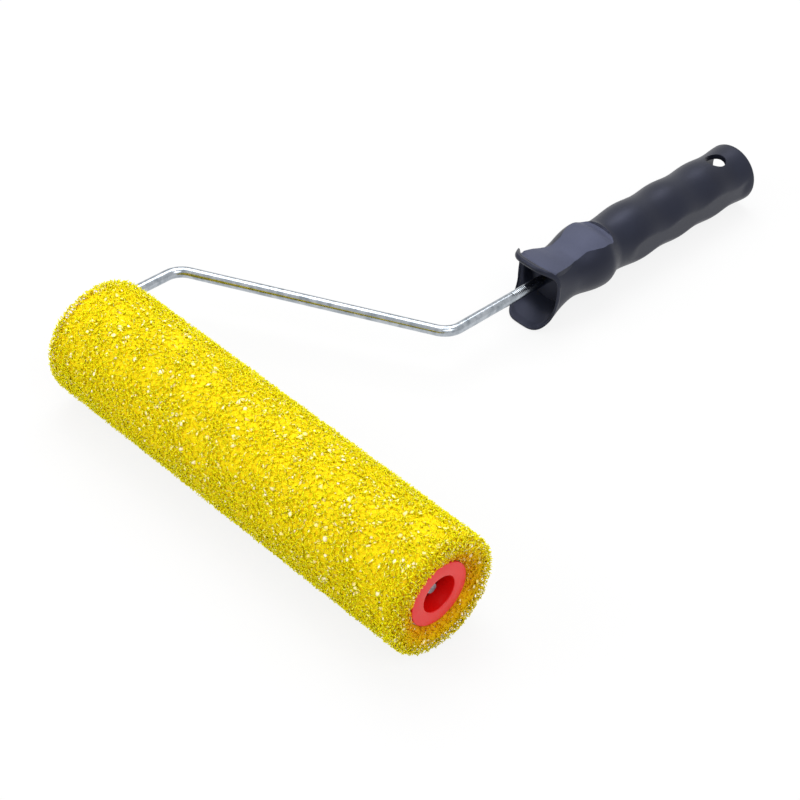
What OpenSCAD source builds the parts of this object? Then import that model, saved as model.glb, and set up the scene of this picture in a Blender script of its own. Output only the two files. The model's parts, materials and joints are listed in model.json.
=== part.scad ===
// Foam paint roller: a bent wire frame in a hollow moulded handle carries a coarse foam
// sleeve on a core tube. The roller axis lies along X, the handle points along +Y, and the
// tool lies on the plane z = 0, resting on the foam and on the rim of the handle's tail.

/* [Foam sleeve] */
// Length of the foam sleeve
foam_len = 250; // [180:1:320]
// Outer diameter of the foam sleeve
foam_d = 63; // [54:0.5:80]
// Radius of the sleeve's rounded outer ends
foam_round = 4; // [1:0.5:6]
// How far the foam stands past the plug faces at each end
foam_overhang = 4; // [1:0.5:8]
// Width of the sloping ring of foam around each plug
foam_dish_w = 8; // [2:0.5:9]

/* [Core tube] */
// Outer diameter of the core tube
core_d = 35; // [29:0.5:42]
// Wall of the core tube
core_wall = 2; // [1:0.25:3]

/* [End plugs] */
// Thickness of the plug's flange
flange_t = 1.6; // [1:0.1:3]
// Gap between the flange's edge and the foam around it
flange_gap = 0.3; // [0.1:0.1:1]
// Diameter of the round recess in the plug's face
recess_d = 19.5; // [16:0.5:23]
// Depth of the recess below the plug's face
recess_depth = 11.5; // [8:0.5:16]
// Wall of the plug's cup and skirt
plug_wall = 1.8; // [1:0.1:2.4]
// Thickness of the recess floor
floor_t = 2.5; // [1.5:0.5:5]
// Length of the bearing boss behind the recess floor
boss_len = 5; // [2:0.5:12]
// Wall of the bearing boss around the wire
boss_wall = 2.5; // [1.5:0.1:4]
// Number of ribs between cup and skirt
rib_count = 6; // [3:1:12]
// Thickness of those ribs
rib_t = 1.5; // [1:0.1:3]
// Radial running clearance between the plug's bore and the wire
run_gap = 0.05; // [0.02:0.01:0.1]
// Free end play between the plug's floor and its washer
end_play = 0.3; // [0.1:0.1:1]

/* [Wire frame] */
// Diameter of the wire
wire_d = 6; // [5:0.25:8]
// Gap from the end of the foam to the middle of the side leg
leg_gap = 13.7; // [9:0.1:30]
// Length of the side leg, from roller axis to the bend's corner
leg_len = 65.4; // [45:0.1:110]
// Distance from roller axis to the corner where the wire turns into the handle
stem_corner = 137.4; // [115:0.1:160]
// Bend radius at the middle of the wire
bend_r = 12; // [8:1:20]
// How far the wire's free end stays below the outer plug's face
tip_depth = 4.6; // [2:0.1:6]
// How far the pressed wings in the handle stand out at each side of the wire
wing_out = 1.5; // [0.5:0.1:2.5]
// Length of each pressed wing
wing_len = 10; // [5:1:15]
// Thickness of the pressed wings and stop ears
wing_t = 1.8; // [1:0.1:3]
// How far the ears that stop the roller stand out at each side of the wire
ear_out = 2; // [1:0.1:3]
// Length of the stop ears along the wire
ear_len = 3; // [2:0.5:5]

/* [Washers and push nut] */
// Width of the thrust washers' ring
washer_ring = 3.1; // [1.5:0.1:3.5]
// Radial clearance of the thrust washers on the wire
washer_gap = 0.15; // [0.05:0.05:0.3]
// Thickness of the thrust washers
washer_t = 1; // [0.5:0.1:1.5]
// Gap between the push nut and the wall of the recess
nut_gap = 1.25; // [0.5:0.05:2]
// Thickness of the push nut's plate
nut_t = 0.8; // [0.5:0.1:1.5]
// Height of the push nut's turned-up rim
nut_rim_h = 1.6; // [1:0.1:2.5]
// Thickness of that rim
nut_rim_t = 0.8; // [0.4:0.1:1]
// Number of slots that part the push nut's teeth
nut_slots = 6; // [4:1:10]
// Width of those slots
slot_w = 0.8; // [0.4:0.1:1.2]

/* [Handle] */
// Distance from roller axis to the handle's front lip
handle_start = 196; // [170:1:240]
// Length of the handle
handle_len = 170.5; // [150:0.5:215]
// Diameter of the socket in the tail
socket_d = 26; // [22:0.5:32]
// Wall between the socket and the grip's hollows
grip_wall = 3; // [2:0.25:5]
// Height of the grip's swells
swell_h = 0.9; // [0.2:0.1:2]
// Number of swells behind the waist
swell_count = 4; // [2:1:6]
// Depth of the tail socket, down to its shoulder
socket_depth = 60; // [40:1:66]
// Width of the shoulder at the bottom of the socket
socket_step = 0.5; // [0.2:0.1:1.5]
// Gap between the wire's end and the bottom of the socket
stem_gap = 11.5; // [5:0.5:20]
// Wall around the wire and its wings in the handle
hub_wall = 2.5; // [1.5:0.1:3.5]
// Length of the closed end of that wall
hub_cap = 4; // [2:0.5:4.5]
// Thickness of the webs that carry it
web_t = 2; // [1:0.1:3]
// Wall of the funnel at the lip
funnel_wall = 2; // [1.2:0.1:3]
// Height of the funnel's top lip above the axis
lip_top = 16.6; // [15:0.1:20]
// Depth of the funnel's bottom lip below the axis
lip_bottom = 22.8; // [18:0.1:22.8]
// Half width of the funnel at the lip
lip_side = 16; // [15.5:0.1:19]
// How far the lip's top and bottom reach ahead of the handle's first station
lip_reach = 1.5; // [0:0.1:4]
// How far the sides of the lip are cut back behind its top and bottom
lip_notch = 9.5; // [2:0.5:12]
// How far the collar behind the neck bulges past the grip
collar_rise = 2.7; // [1.5:0.1:4]
// How far the thumb rest's crown lies below the collar
thumb_drop = 2.7; // [1.5:0.1:3.3]
// Radius of the thumb rest's crown
thumb_r = 35; // [25:1:80]
// Diameter of the hanging hole
hole_d = 12; // [8:0.5:14]
// Distance from the tail's end to the middle of the hanging hole
hole_inset = 18.3; // [12:0.1:26]

/* [Hidden] */
$fn = 96;

// Overlap of cuts that end on a face, and of cuts that run clear past what they cut
eps = 0.01;
over = 1;

// Roller
foam_r = foam_d / 2;
foam_bore_r = core_d / 2;
plug_face = foam_len / 2 - foam_overhang;
core_len = 2 * (plug_face - flange_t);
flange_r = foam_bore_r - flange_gap;
plug_r = foam_bore_r - core_wall;
recess_r = recess_d / 2;
bore_r = wire_d / 2 + run_gap;
boss_r = bore_r + boss_wall;
skirt_len = recess_depth + floor_t;
floor_x = plug_face - recess_depth;
washer_x = floor_x + end_play;

// Wire path in the frame's own plane
wire_r = wire_d / 2;
leg_x = -(foam_len / 2 + leg_gap);
stem_x = (foam_len / 2 + leg_x - wire_r) / 2;
tip_x = plug_face - tip_depth;
joint_half = 0.4;
joint_r = wire_r + 0.05;
wing_w = wire_d + 2 * wing_out;
ear_w = wire_d + 2 * ear_out;
washer_bore_r = wire_r + washer_gap;
washer_r = washer_bore_r + washer_ring;
nut_r = recess_r - nut_gap;

// Handle stations, measured from the front lip
neck_s = 24;
collar_s = 46.5;
waist_s = 59;
swell_s = 80;
bulkhead_s = 17;
hollow_s = 38.5;
rib_end_s = handle_len - socket_depth;
stem_in = rib_end_s - stem_gap;
front_wing_s = (bulkhead_s + hollow_s - wing_len) / 2;
rear_wing_s = stem_in - 2 * wing_len;

// Radii and squareness of the handle's sections
socket_r = socket_d / 2;
grip_r = socket_r + grip_wall;
swell_r = grip_r + swell_h;
waist_dip = 0.8;
waist_r = grip_r - waist_dip;
collar_r = grip_r + collar_rise;
thumb_h = collar_r - thumb_drop;
neck_side = 15;
neck_top = 12.5;
neck_bottom = 15.2;
tail_chamfer = 0.8;
lip_power = 4.8;
notch_power = 4;
collar_power = 2.3;
flare_power = 1.7;
ring_sides = 40;
hub_r = wing_w / 2 + hub_wall;

// The tool lies on the foam and on the lower edge of the tail
tail_y = handle_start + handle_len;
rest_y = tail_y - tail_chamfer;
tilt = asin(foam_r / norm([rest_y, swell_r])) - atan2(swell_r, rest_y);
mid_x = stem_x;
front_y = tail_y * cos(tilt) + (swell_r - tail_chamfer) * sin(tilt);
mid_y = (front_y - foam_r) / 2;

// Carries the frame's plane onto the ground, with the middle of the outline at the origin
module lay_down()
  translate([-mid_x, -mid_y, foam_r])
    rotate([-tilt, 0, 0])
      children();

module along_x(x)
  translate([x, 0, 0])
    rotate([0, 90, 0])
      children();

module tube_x(x, len, r_out, r_in)
  along_x(x)
    difference() {
      cylinder(h = len, r = r_out);
      translate([0, 0, -eps]) cylinder(h = len + 2 * eps, r = r_in);
    }

// ---- Roller ----

module foam_end_profile() {
  // Half of the sleeve's section, from the middle out to one end
  difference() {
    translate([foam_bore_r, 0]) square([foam_r - foam_bore_r, foam_len / 2]);
    // sloping ring around the plug
    polygon([[foam_bore_r - eps, plug_face],
             [foam_bore_r + foam_dish_w, foam_len / 2],
             [foam_bore_r + foam_dish_w, foam_len / 2 + over],
             [foam_bore_r - eps, foam_len / 2 + over]]);
    // rounded outer edge
    translate([foam_r - foam_round, foam_len / 2 - foam_round])
      difference() {
        square(foam_round + over);
        circle(r = foam_round);
      }
  }
}

module foam_sleeve()
  color("gold") lay_down()
    rotate([0, 90, 0])
      rotate_extrude() {
        foam_end_profile();
        mirror([0, 1]) foam_end_profile();
      }

module core_tube()
  color("whitesmoke") lay_down()
    tube_x(-core_len / 2, core_len, foam_bore_r, plug_r);

// A plug for the +X end: flange, skirt in the core tube, cup with a bored floor, and ribs
module end_plug() {
  tube_x(plug_face - flange_t, flange_t, flange_r, recess_r);
  tube_x(plug_face - skirt_len, skirt_len - flange_t, plug_r, plug_r - plug_wall);
  tube_x(plug_face - skirt_len, skirt_len - flange_t, recess_r + plug_wall, recess_r);
  tube_x(floor_x - floor_t, floor_t, recess_r + plug_wall, bore_r);
  tube_x(floor_x - floor_t - boss_len, boss_len, boss_r, bore_r);
  for (i = [0 : rib_count - 1])
    rotate([i * 360 / rib_count, 0, 0])
      translate([plug_face - skirt_len, -rib_t / 2, recess_r + plug_wall / 2])
        cube([skirt_len - flange_t, rib_t, plug_r - recess_r - plug_wall]);
}

module outer_end_plug()
  color("red") lay_down() end_plug();

module inner_end_plug()
  color("red") lay_down() mirror([1, 0, 0]) end_plug();

// ---- Wire frame ----

function unit(v) = v / norm(v);
function heading(a, b) = atan2(b.y - a.y, b.x - a.x);
function turn_sign(a, b, c) = sign((b - a).x * (c - b).y - (b - a).y * (c - b).x);
function turn_angle(a, b, c) = acos(unit(b - a) * unit(c - b));
function trim(a, b, c) = bend_r * tan(turn_angle(a, b, c) / 2);
function bend_start(a, b, c) = b - unit(b - a) * trim(a, b, c);
function bend_end(a, b, c) = b + unit(c - b) * trim(a, b, c);

// A length of wire from a to b, or a short sleeve over the joint at b when b is also a
module wire_length(a, b, direction, r, spare = 0)
  translate([a.x, a.y, 0])
    rotate([0, 0, direction])
      translate([-spare, 0, 0])
        rotate([0, 90, 0])
          cylinder(h = norm(b - a) + 2 * spare, r = r);

// Round bend at b, between the directions a to b and b to c
module bend(a, b, c) {
  side = turn_sign(a, b, c);
  start = bend_start(a, b, c);
  translate([start.x, start.y, 0])
    rotate([0, 0, heading(a, b)])
      translate([0, side * bend_r, 0])
        rotate([0, 0, side > 0 ? -90 : 90 - turn_angle(a, b, c)])
          rotate_extrude(angle = turn_angle(a, b, c))
            translate([bend_r, 0]) circle(r = wire_r);
}

// Flattened stretches of the stem that hold it in the handle, at their places from the lip
module pressed_wings()
  for (s = [front_wing_s, rear_wing_s])
    translate([-wing_w / 2, s, -wing_t / 2])
      cube([wing_w, wing_len, wing_t]);

module wire_frame()
  color("lightsteelblue") lay_down() {
    path = [[tip_x, 0], [leg_x, 0], [leg_x, leg_len], [stem_x, stem_corner],
            [stem_x, handle_start + stem_in]];
    last = len(path) - 1;
    starts = [path[0], for (i = [1 : last - 1]) bend_end(path[i - 1], path[i], path[i + 1])];
    ends = [for (i = [1 : last - 1]) bend_start(path[i - 1], path[i], path[i + 1]), path[last]];
    for (i = [0 : last - 1])
      wire_length(starts[i], ends[i], heading(path[i], path[i + 1]), wire_r);
    for (i = [1 : last - 1]) {
      bend(path[i - 1], path[i], path[i + 1]);
      // a sleeve a hair thicker than the wire makes bend and straights one solid
      wire_length(ends[i - 1], ends[i - 1], heading(path[i - 1], path[i]), joint_r, joint_half);
      wire_length(starts[i], starts[i], heading(path[i], path[i + 1]), joint_r, joint_half);
    }
    translate([stem_x, handle_start, 0]) pressed_wings();
    // ears that stop the inner washer
    translate([-(washer_x + washer_t + ear_len), -ear_w / 2, -wing_t / 2])
      cube([ear_len, ear_w, wing_t]);
  }

// ---- Washers and push nut ----

module outer_thrust_washer()
  color("silver") lay_down()
    tube_x(washer_x, washer_t, washer_r, washer_bore_r);

module inner_thrust_washer()
  color("silver") lay_down()
    mirror([1, 0, 0]) tube_x(washer_x, washer_t, washer_r, washer_bore_r);

module outer_push_nut()
  color("dimgray") lay_down() {
    nut_x = washer_x + washer_t;
    difference() {
      tube_x(nut_x, nut_t, nut_r, wire_r);
      for (i = [0 : nut_slots - 1])
        rotate([i * 360 / nut_slots, 0, 0])
          translate([nut_x - eps, -slot_w / 2, 0])
            cube([nut_t + 2 * eps, slot_w, (wire_r + nut_r) / 2]);
    }
    tube_x(nut_x, nut_rim_h, nut_r, nut_r - nut_rim_t);
  }

// ---- Handle ----

function ease(t) = (1 - cos(180 * t)) / 2;
function blend(a, b, t) = a + (b - a) * t;
function flare(t) = pow(max(1 - t, 0), flare_power);
function swell(s) =
  grip_r + swell_h * (1 + cos(360 * (handle_len - s) / ((handle_len - swell_s) / (swell_count - 1)))) / 2;

// Half width, height above and depth below the axis, and squareness of the section at s
function lip_to_neck(t) = [for (pair = [[neck_side, lip_side], [neck_top, lip_top],
                                        [neck_bottom, lip_bottom], [collar_power, lip_power]])
                           blend(pair[0], pair[1], flare(t))];
function neck_to_collar(t) = [blend(neck_side, collar_r, t), blend(neck_top, collar_r, t),
                              blend(neck_bottom, collar_r, t), collar_power];
function round_section(r) = [r, r, r, 2];
function section_size(s) =
  s <= neck_s ? lip_to_neck(max(s, 0) / neck_s) :
  s <= collar_s ? neck_to_collar(ease((s - neck_s) / (collar_s - neck_s))) :
  s <= waist_s ? round_section(blend(collar_r, waist_r, ease((s - collar_s) / (waist_s - collar_s)))) :
  s <= swell_s ? round_section(blend(waist_r, swell_r, ease((s - waist_s) / (swell_s - waist_s)))) :
  round_section(swell(s));

function bow(v, power) = sign(v) * pow(abs(v), 2 / power);
// The lip runs forward at its top and bottom and back at its sides, and fades out at the neck
function lip_shift(s, a) =
  (lip_notch * pow(cos(a), notch_power) - lip_reach) * pow(1 - min(max(s, 0) / neck_s, 1), 2);
function section_ring(s, shrink, y) =
  let (size = section_size(s))
  [for (i = [0 : ring_sides - 1])
    let (a = i * 360 / ring_sides, up = sin(a) >= 0 ? size[1] : size[2])
    [(size[0] - shrink) * bow(cos(a), size[3]),
     y + lip_shift(s, a),
     (up - shrink) * bow(sin(a), size[3])]];

// Closed skin over a list of rings, with a fan on each end
module skin(rings) {
  n = len(rings[0]);
  m = len(rings);
  function middle(ring) = [for (k = [0 : 2]) [for (p = ring) p[k]] * [for (p = ring) 1] / n];
  points = concat([for (ring = rings, p = ring) p], [middle(rings[0]), middle(rings[m - 1])]);
  sides = [for (j = [0 : m - 2], i = [0 : n - 1], half = [0, 1])
    let (k = (i + 1) % n)
    half == 0 ? [j * n + i, j * n + k, (j + 1) * n + k] : [j * n + i, (j + 1) * n + k, (j + 1) * n + i]];
  front = [for (i = [0 : n - 1]) [m * n, (i + 1) % n, i]];
  back = [for (i = [0 : n - 1]) [m * n + 1, (m - 1) * n + i, (m - 1) * n + (i + 1) % n]];
  polyhedron(points, concat(sides, front, back));
}

function steps(from, to, count) = [for (i = [0 : count - 1]) blend(from, to, i / count)];
outer_stations = concat(steps(0, neck_s, 6), steps(neck_s, collar_s, 5), steps(collar_s, waist_s, 4),
                        steps(waist_s, swell_s, 4), steps(swell_s, handle_len - tail_chamfer, 18));

module outer_body()
  skin(concat([for (s = outer_stations) section_ring(s, 0, s)],
              [section_ring(handle_len, 0, handle_len - tail_chamfer),
               section_ring(handle_len, tail_chamfer, handle_len)]));

// Flared hollow of the funnel, from ahead of the lip to the bulkhead
module funnel_hollow()
  skin(concat([section_ring(0, funnel_wall, -lip_notch)],
              [for (s = steps(0, bulkhead_s, 6)) section_ring(s, funnel_wall, s)],
              [section_ring(bulkhead_s, funnel_wall, bulkhead_s)]));

// Tube around the wire's stem, and the webs between it and the grip
module hub_and_webs() {
  cylinder(h = stem_in + hub_cap - hollow_s, r = hub_r);
  for (a = [45, 135])
    rotate([0, 0, a])
      translate([-socket_r - over, -web_t / 2, 0])
        cube([socket_d + 2 * over, web_t, rib_end_s - hollow_s]);
}

// Hollow of the grip: the round socket, and a narrower space around the hub and webs
module grip_hollow() {
  translate([0, handle_len + over, 0])
    rotate([90, 0, 0]) cylinder(h = socket_depth + over, r = socket_r);
  difference() {
    translate([0, rib_end_s + eps, 0])
      rotate([90, 0, 0]) cylinder(h = rib_end_s + eps - hollow_s, r = socket_r - socket_step);
    translate([0, hollow_s - eps, 0])
      rotate([-90, 0, 0]) hub_and_webs();
  }
}

module handle()
  color("#33353f") lay_down()
    translate([stem_x, handle_start, 0])
      difference() {
        outer_body();
        funnel_hollow();
        grip_hollow();
        // bore for the wire, and seats for its wings
        translate([0, stem_in, 0])
          rotate([90, 0, 0]) cylinder(h = stem_in + over, r = wire_r);
        pressed_wings();
        // crowned thumb rest, cut across the top of the collar
        translate([0, neck_s, 0])
          difference() {
            translate([-collar_r - over, 0, 0])
              cube([2 * (collar_r + over), waist_s - neck_s, collar_r + over]);
            translate([0, -over, thumb_h - thumb_r])
              rotate([-90, 0, 0]) cylinder(h = waist_s - neck_s + 2 * over, r = thumb_r);
          }
        // hanging hole
        translate([0, handle_len - hole_inset, -swell_r - over])
          cylinder(h = 2 * (swell_r + over), r = hole_d / 2);
      }

foam_sleeve();
core_tube();
outer_end_plug();
inner_end_plug();
wire_frame();
outer_thrust_washer();
outer_push_nut();
inner_thrust_washer();
handle();
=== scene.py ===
"""Looks of a foam paint roller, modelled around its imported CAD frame.

Sizes are in millimetres and are turned to metres when a mesh is made. The tool is modelled in its
own plane: x runs along the roller's axis with the handle's axis at 0, y runs from the roller's axis
to the handle's tail, and z stands square to the wire. Layout lays that plane on the ground.
"""

import json
import logging
import math
from dataclasses import dataclass, field
from enum import Enum

import bmesh
import bpy
import numpy as np
from mathutils import Matrix, Vector

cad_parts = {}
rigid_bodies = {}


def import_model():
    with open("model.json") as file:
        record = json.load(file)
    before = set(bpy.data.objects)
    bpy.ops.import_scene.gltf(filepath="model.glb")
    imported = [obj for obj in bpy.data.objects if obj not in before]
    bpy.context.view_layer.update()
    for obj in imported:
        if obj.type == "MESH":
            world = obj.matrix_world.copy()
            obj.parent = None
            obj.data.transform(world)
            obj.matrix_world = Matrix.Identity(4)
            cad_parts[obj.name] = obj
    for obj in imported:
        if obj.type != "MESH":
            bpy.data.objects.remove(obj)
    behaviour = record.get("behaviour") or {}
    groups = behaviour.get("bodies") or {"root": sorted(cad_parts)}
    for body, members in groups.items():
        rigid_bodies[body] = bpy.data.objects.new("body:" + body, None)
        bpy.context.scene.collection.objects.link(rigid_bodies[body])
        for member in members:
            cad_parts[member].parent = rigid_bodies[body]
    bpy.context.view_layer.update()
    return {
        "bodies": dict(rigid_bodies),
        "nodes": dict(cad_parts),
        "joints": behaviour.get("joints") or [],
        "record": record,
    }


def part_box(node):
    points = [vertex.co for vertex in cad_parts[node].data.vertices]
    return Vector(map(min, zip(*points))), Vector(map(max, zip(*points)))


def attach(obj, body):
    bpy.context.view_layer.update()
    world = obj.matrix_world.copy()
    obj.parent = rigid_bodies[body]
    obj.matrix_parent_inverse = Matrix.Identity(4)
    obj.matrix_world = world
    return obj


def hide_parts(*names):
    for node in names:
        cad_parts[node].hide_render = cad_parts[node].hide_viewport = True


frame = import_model()

MM = 0.001
log = logging.getLogger("paint_roller")

Point = tuple[float, float]
Rings = list[np.ndarray]


class Body(Enum):
    """The two bodies that move against each other."""

    FRAME = "frame"
    ROLLER = "roller"


class Slot(Enum):
    """The record's material slots."""

    FOAM = "foam"
    CORE = "core"
    PLUG = "plug"
    WIRE = "wire"
    WASHER = "washer"
    PUSH_NUT = "push_nut"
    HANDLE = "handle"


class End(Enum):
    """The roller's two ends, with the sign of their direction along x."""

    OUTER = 1
    INNER = -1


# ---- Colour and nodes ----


def linear(hex_colour: str) -> tuple[float, float, float, float]:
    """Turns an sRGB hex colour to linear RGBA.

    Args:
        hex_colour: Six hex digits after a hash.

    Returns:
        Red, green, blue and an alpha of 1.
    """
    parts = [int(hex_colour[i : i + 2], 16) / 255 for i in (1, 3, 5)]
    toned = [c / 12.92 if c <= 0.04045 else ((c + 0.055) / 1.055) ** 2.4 for c in parts]
    return (toned[0], toned[1], toned[2], 1.0)


def add_node(
    tree: bpy.types.NodeTree,
    kind: str,
    inputs: dict[str | int, object] | None = None,
    stops: list[tuple[float, str]] | None = None,
    **settings: object,
) -> bpy.types.Node:
    """Adds a node with its settings, values and links.

    Args:
        tree: The tree that gets the node.
        kind: The node's type name.
        inputs: A value, or an output socket to link from, for each input named or numbered.
        stops: Positions and hex colours of a colour ramp.
        **settings: Values of the node's own properties.

    Returns:
        The new node.
    """
    node = tree.nodes.new(kind)
    for name, value in settings.items():
        setattr(node, name, value)
    for at, colour in stops or []:
        element = node.color_ramp.elements.new(at)
        element.color = linear(colour)
    if stops:
        while len(node.color_ramp.elements) > len(stops):
            spare = [e for e in node.color_ramp.elements if e.color[:] in ((0, 0, 0, 1), (1, 1, 1, 1))]
            node.color_ramp.elements.remove(spare[0])
    for name, value in (inputs or {}).items():
        if isinstance(value, bpy.types.NodeSocket):
            tree.links.new(value, node.inputs[name])
        else:
            node.inputs[name].default_value = value
    return node


def off_axis(tree: bpy.types.NodeTree) -> bpy.types.NodeSocket:
    """Measures a place on a piece square to the roller's axis and from it.

    Args:
        tree: The material's tree.

    Returns:
        The place's vector.
    """
    place = add_node(tree, "ShaderNodeTexCoord").outputs["Object"]
    axis = -Vector(frame["joints"][0]["pos_m"])
    moved = add_node(
        tree, "ShaderNodeMapping", {"Vector": place, "Location": axis, "Scale": (0.0, 1.0, 1.0)}
    )
    return moved.outputs["Vector"]


# ---- Finishes ----


@dataclass(frozen=True)
class Finish:
    """What a surface is made of. A subclass draws its pattern."""

    name: str
    slot: Slot
    base: str
    roughness: float
    ior: float = 1.5
    metallic: float = 0.0
    glint: str = "#FFFFFF"
    specular: float = 0.5
    scatter: float = 0.0
    scatter_mm: float = 0.5

    def material(self) -> bpy.types.Material:
        """Makes the material once, and returns it each time after that.

        Returns:
            The material.
        """
        found = bpy.data.materials.get(self.name)
        if found:
            return found
        made = bpy.data.materials.new(self.name)
        made.use_nodes = True
        tree = made.node_tree
        shader = tree.nodes["Principled BSDF"]
        shader.inputs["Base Color"].default_value = linear(self.base)
        shader.inputs["Roughness"].default_value = self.roughness
        shader.inputs["Metallic"].default_value = self.metallic
        shader.inputs["Specular Tint"].default_value = linear(self.glint)
        shader.inputs["Specular IOR Level"].default_value = self.specular
        if not self.metallic:
            shader.inputs["IOR"].default_value = self.ior
        if self.scatter:
            shader.inputs["Subsurface Weight"].default_value = self.scatter
            shader.inputs["Subsurface Radius"].default_value = (1.0, 0.8, 0.1)
            shader.inputs["Subsurface Scale"].default_value = self.scatter_mm * MM
        self.pattern(tree, shader)
        return made

    def pattern(self, tree: bpy.types.NodeTree, shader: bpy.types.Node) -> None:
        """Draws the surface's pattern into the shader's sockets.

        Args:
            tree: The material's tree.
            shader: Its Principled node.
        """
        raise NotImplementedError


@dataclass(frozen=True)
class MouldedPlastic(Finish):
    """Injection-moulded polypropylene: satin, with a fine spark-eroded grain and faint flow marks."""

    flow: str = "#2C2E38"
    grain_mm: float = 0.5
    grain_depth_mm: float = 0.03
    gloss_spread: float = 0.06
    rings_mm: float = 0.0
    ring_depth_mm: float = 0.05

    def pattern(self, tree: bpy.types.NodeTree, shader: bpy.types.Node) -> None:
        """Draws flow marks in the colour, and the grain in roughness and bump.

        Args:
            tree: The material's tree.
            shader: Its Principled node.
        """
        place = add_node(tree, "ShaderNodeTexCoord").outputs["Object"]
        marks = add_node(tree, "ShaderNodeTexNoise", {"Vector": place, "Scale": 45.0, "Detail": 3.0})
        tone = add_node(
            tree,
            "ShaderNodeValToRGB",
            {"Fac": marks.outputs["Fac"]},
            stops=[(0.35, self.base), (0.68, self.flow)],
        )
        grain = add_node(
            tree,
            "ShaderNodeTexNoise",
            {"Vector": place, "Scale": 1 / (self.grain_mm * MM), "Detail": 2.0, "Roughness": 0.6},
        )
        gloss = add_node(
            tree,
            "ShaderNodeMapRange",
            {
                "Value": grain.outputs["Fac"],
                "From Min": 0.3,
                "From Max": 0.7,
                "To Min": self.roughness - self.gloss_spread,
                "To Max": self.roughness + self.gloss_spread,
            },
        )
        bump = add_node(
            tree,
            "ShaderNodeBump",
            {"Height": grain.outputs["Fac"], "Strength": 0.5, "Distance": self.grain_depth_mm * MM},
        )
        if self.rings_mm:
            bump = self.turned_rings(tree, bump.outputs["Normal"])
        tree.links.new(tone.outputs["Color"], shader.inputs["Base Color"])
        tree.links.new(gloss.outputs["Result"], shader.inputs["Roughness"])
        tree.links.new(bump.outputs["Normal"], shader.inputs["Normal"])

    def turned_rings(
        self, tree: bpy.types.NodeTree, normal: bpy.types.NodeSocket
    ) -> bpy.types.Node:
        """Adds the fine rings that the mould's lathe left round the roller's axis.

        Args:
            tree: The material's tree.
            normal: The bump so far.

        Returns:
            The bump node that holds both.
        """
        ring_at_scale_1 = math.tau / 20
        per_metre = ring_at_scale_1 / (self.rings_mm * MM)
        rings = add_node(
            tree,
            "ShaderNodeTexWave",
            {"Vector": off_axis(tree), "Scale": per_metre, "Distortion": 0.3},
            wave_type="RINGS",
            rings_direction="X",
        )
        depth = {"Strength": 0.6, "Distance": self.ring_depth_mm * MM}
        return add_node(
            tree, "ShaderNodeBump", {"Height": rings.outputs["Fac"], "Normal": normal, **depth}
        )


@dataclass(frozen=True)
class PlatedSteel(Finish):
    """Zinc-plated drawn steel: bright, a little cloudy, with patches of blue passivation."""

    cloud: str = "#AEB6C2"
    patch_mm: float = 4.0
    scratch_mm: float = 0.35
    scratch_depth_mm: float = 0.02

    def pattern(self, tree: bpy.types.NodeTree, shader: bpy.types.Node) -> None:
        """Draws passivation patches in the colour, and handling scratches in gloss and bump.

        Args:
            tree: The material's tree.
            shader: Its Principled node.
        """
        place = add_node(tree, "ShaderNodeTexCoord").outputs["Object"]
        patches = add_node(
            tree,
            "ShaderNodeTexNoise",
            {"Vector": place, "Scale": 1 / (self.patch_mm * MM), "Detail": 4.0, "Roughness": 0.55},
        )
        tone = add_node(
            tree,
            "ShaderNodeValToRGB",
            {"Fac": patches.outputs["Fac"]},
            stops=[(0.32, self.cloud), (0.62, self.base)],
        )
        scratches = add_node(
            tree,
            "ShaderNodeTexNoise",
            {"Vector": place, "Scale": 1 / (self.scratch_mm * MM), "Detail": 3.0, "Distortion": 0.4},
        )
        gloss = add_node(
            tree,
            "ShaderNodeMapRange",
            {
                "Value": scratches.outputs["Fac"],
                "From Min": 0.3,
                "From Max": 0.75,
                "To Min": self.roughness * 0.75,
                "To Max": self.roughness * 1.4,
            },
        )
        bump = add_node(
            tree,
            "ShaderNodeBump",
            {
                "Height": scratches.outputs["Fac"],
                "Strength": 0.25,
                "Distance": self.scratch_depth_mm * MM,
            },
        )
        tree.links.new(tone.outputs["Color"], shader.inputs["Base Color"])
        tree.links.new(gloss.outputs["Result"], shader.inputs["Roughness"])
        tree.links.new(bump.outputs["Normal"], shader.inputs["Normal"])


@dataclass(frozen=True)
class ExtrudedTube(Finish):
    """Extruded polypropylene tube, with fine lines along its length."""

    line: str = "#D8D6CE"
    line_mm: float = 0.6
    line_depth_mm: float = 0.05

    def pattern(self, tree: bpy.types.NodeTree, shader: bpy.types.Node) -> None:
        """Draws die lines that run along x.

        Args:
            tree: The material's tree.
            shader: Its Principled node.
        """
        place = add_node(tree, "ShaderNodeTexCoord").outputs["Object"]
        along = add_node(
            tree, "ShaderNodeMapping", {"Vector": place, "Scale": (0.02, 1.0, 1.0)}
        )
        lines = add_node(
            tree,
            "ShaderNodeTexNoise",
            {"Vector": along.outputs["Vector"], "Scale": 1 / (self.line_mm * MM), "Detail": 2.0},
        )
        tone = add_node(
            tree,
            "ShaderNodeValToRGB",
            {"Fac": lines.outputs["Fac"]},
            stops=[(0.4, self.line), (0.6, self.base)],
        )
        bump = add_node(
            tree,
            "ShaderNodeBump",
            {
                "Height": lines.outputs["Fac"],
                "Strength": 0.3,
                "Distance": self.line_depth_mm * MM,
            },
        )
        tree.links.new(tone.outputs["Color"], shader.inputs["Base Color"])
        tree.links.new(bump.outputs["Normal"], shader.inputs["Normal"])


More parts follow.
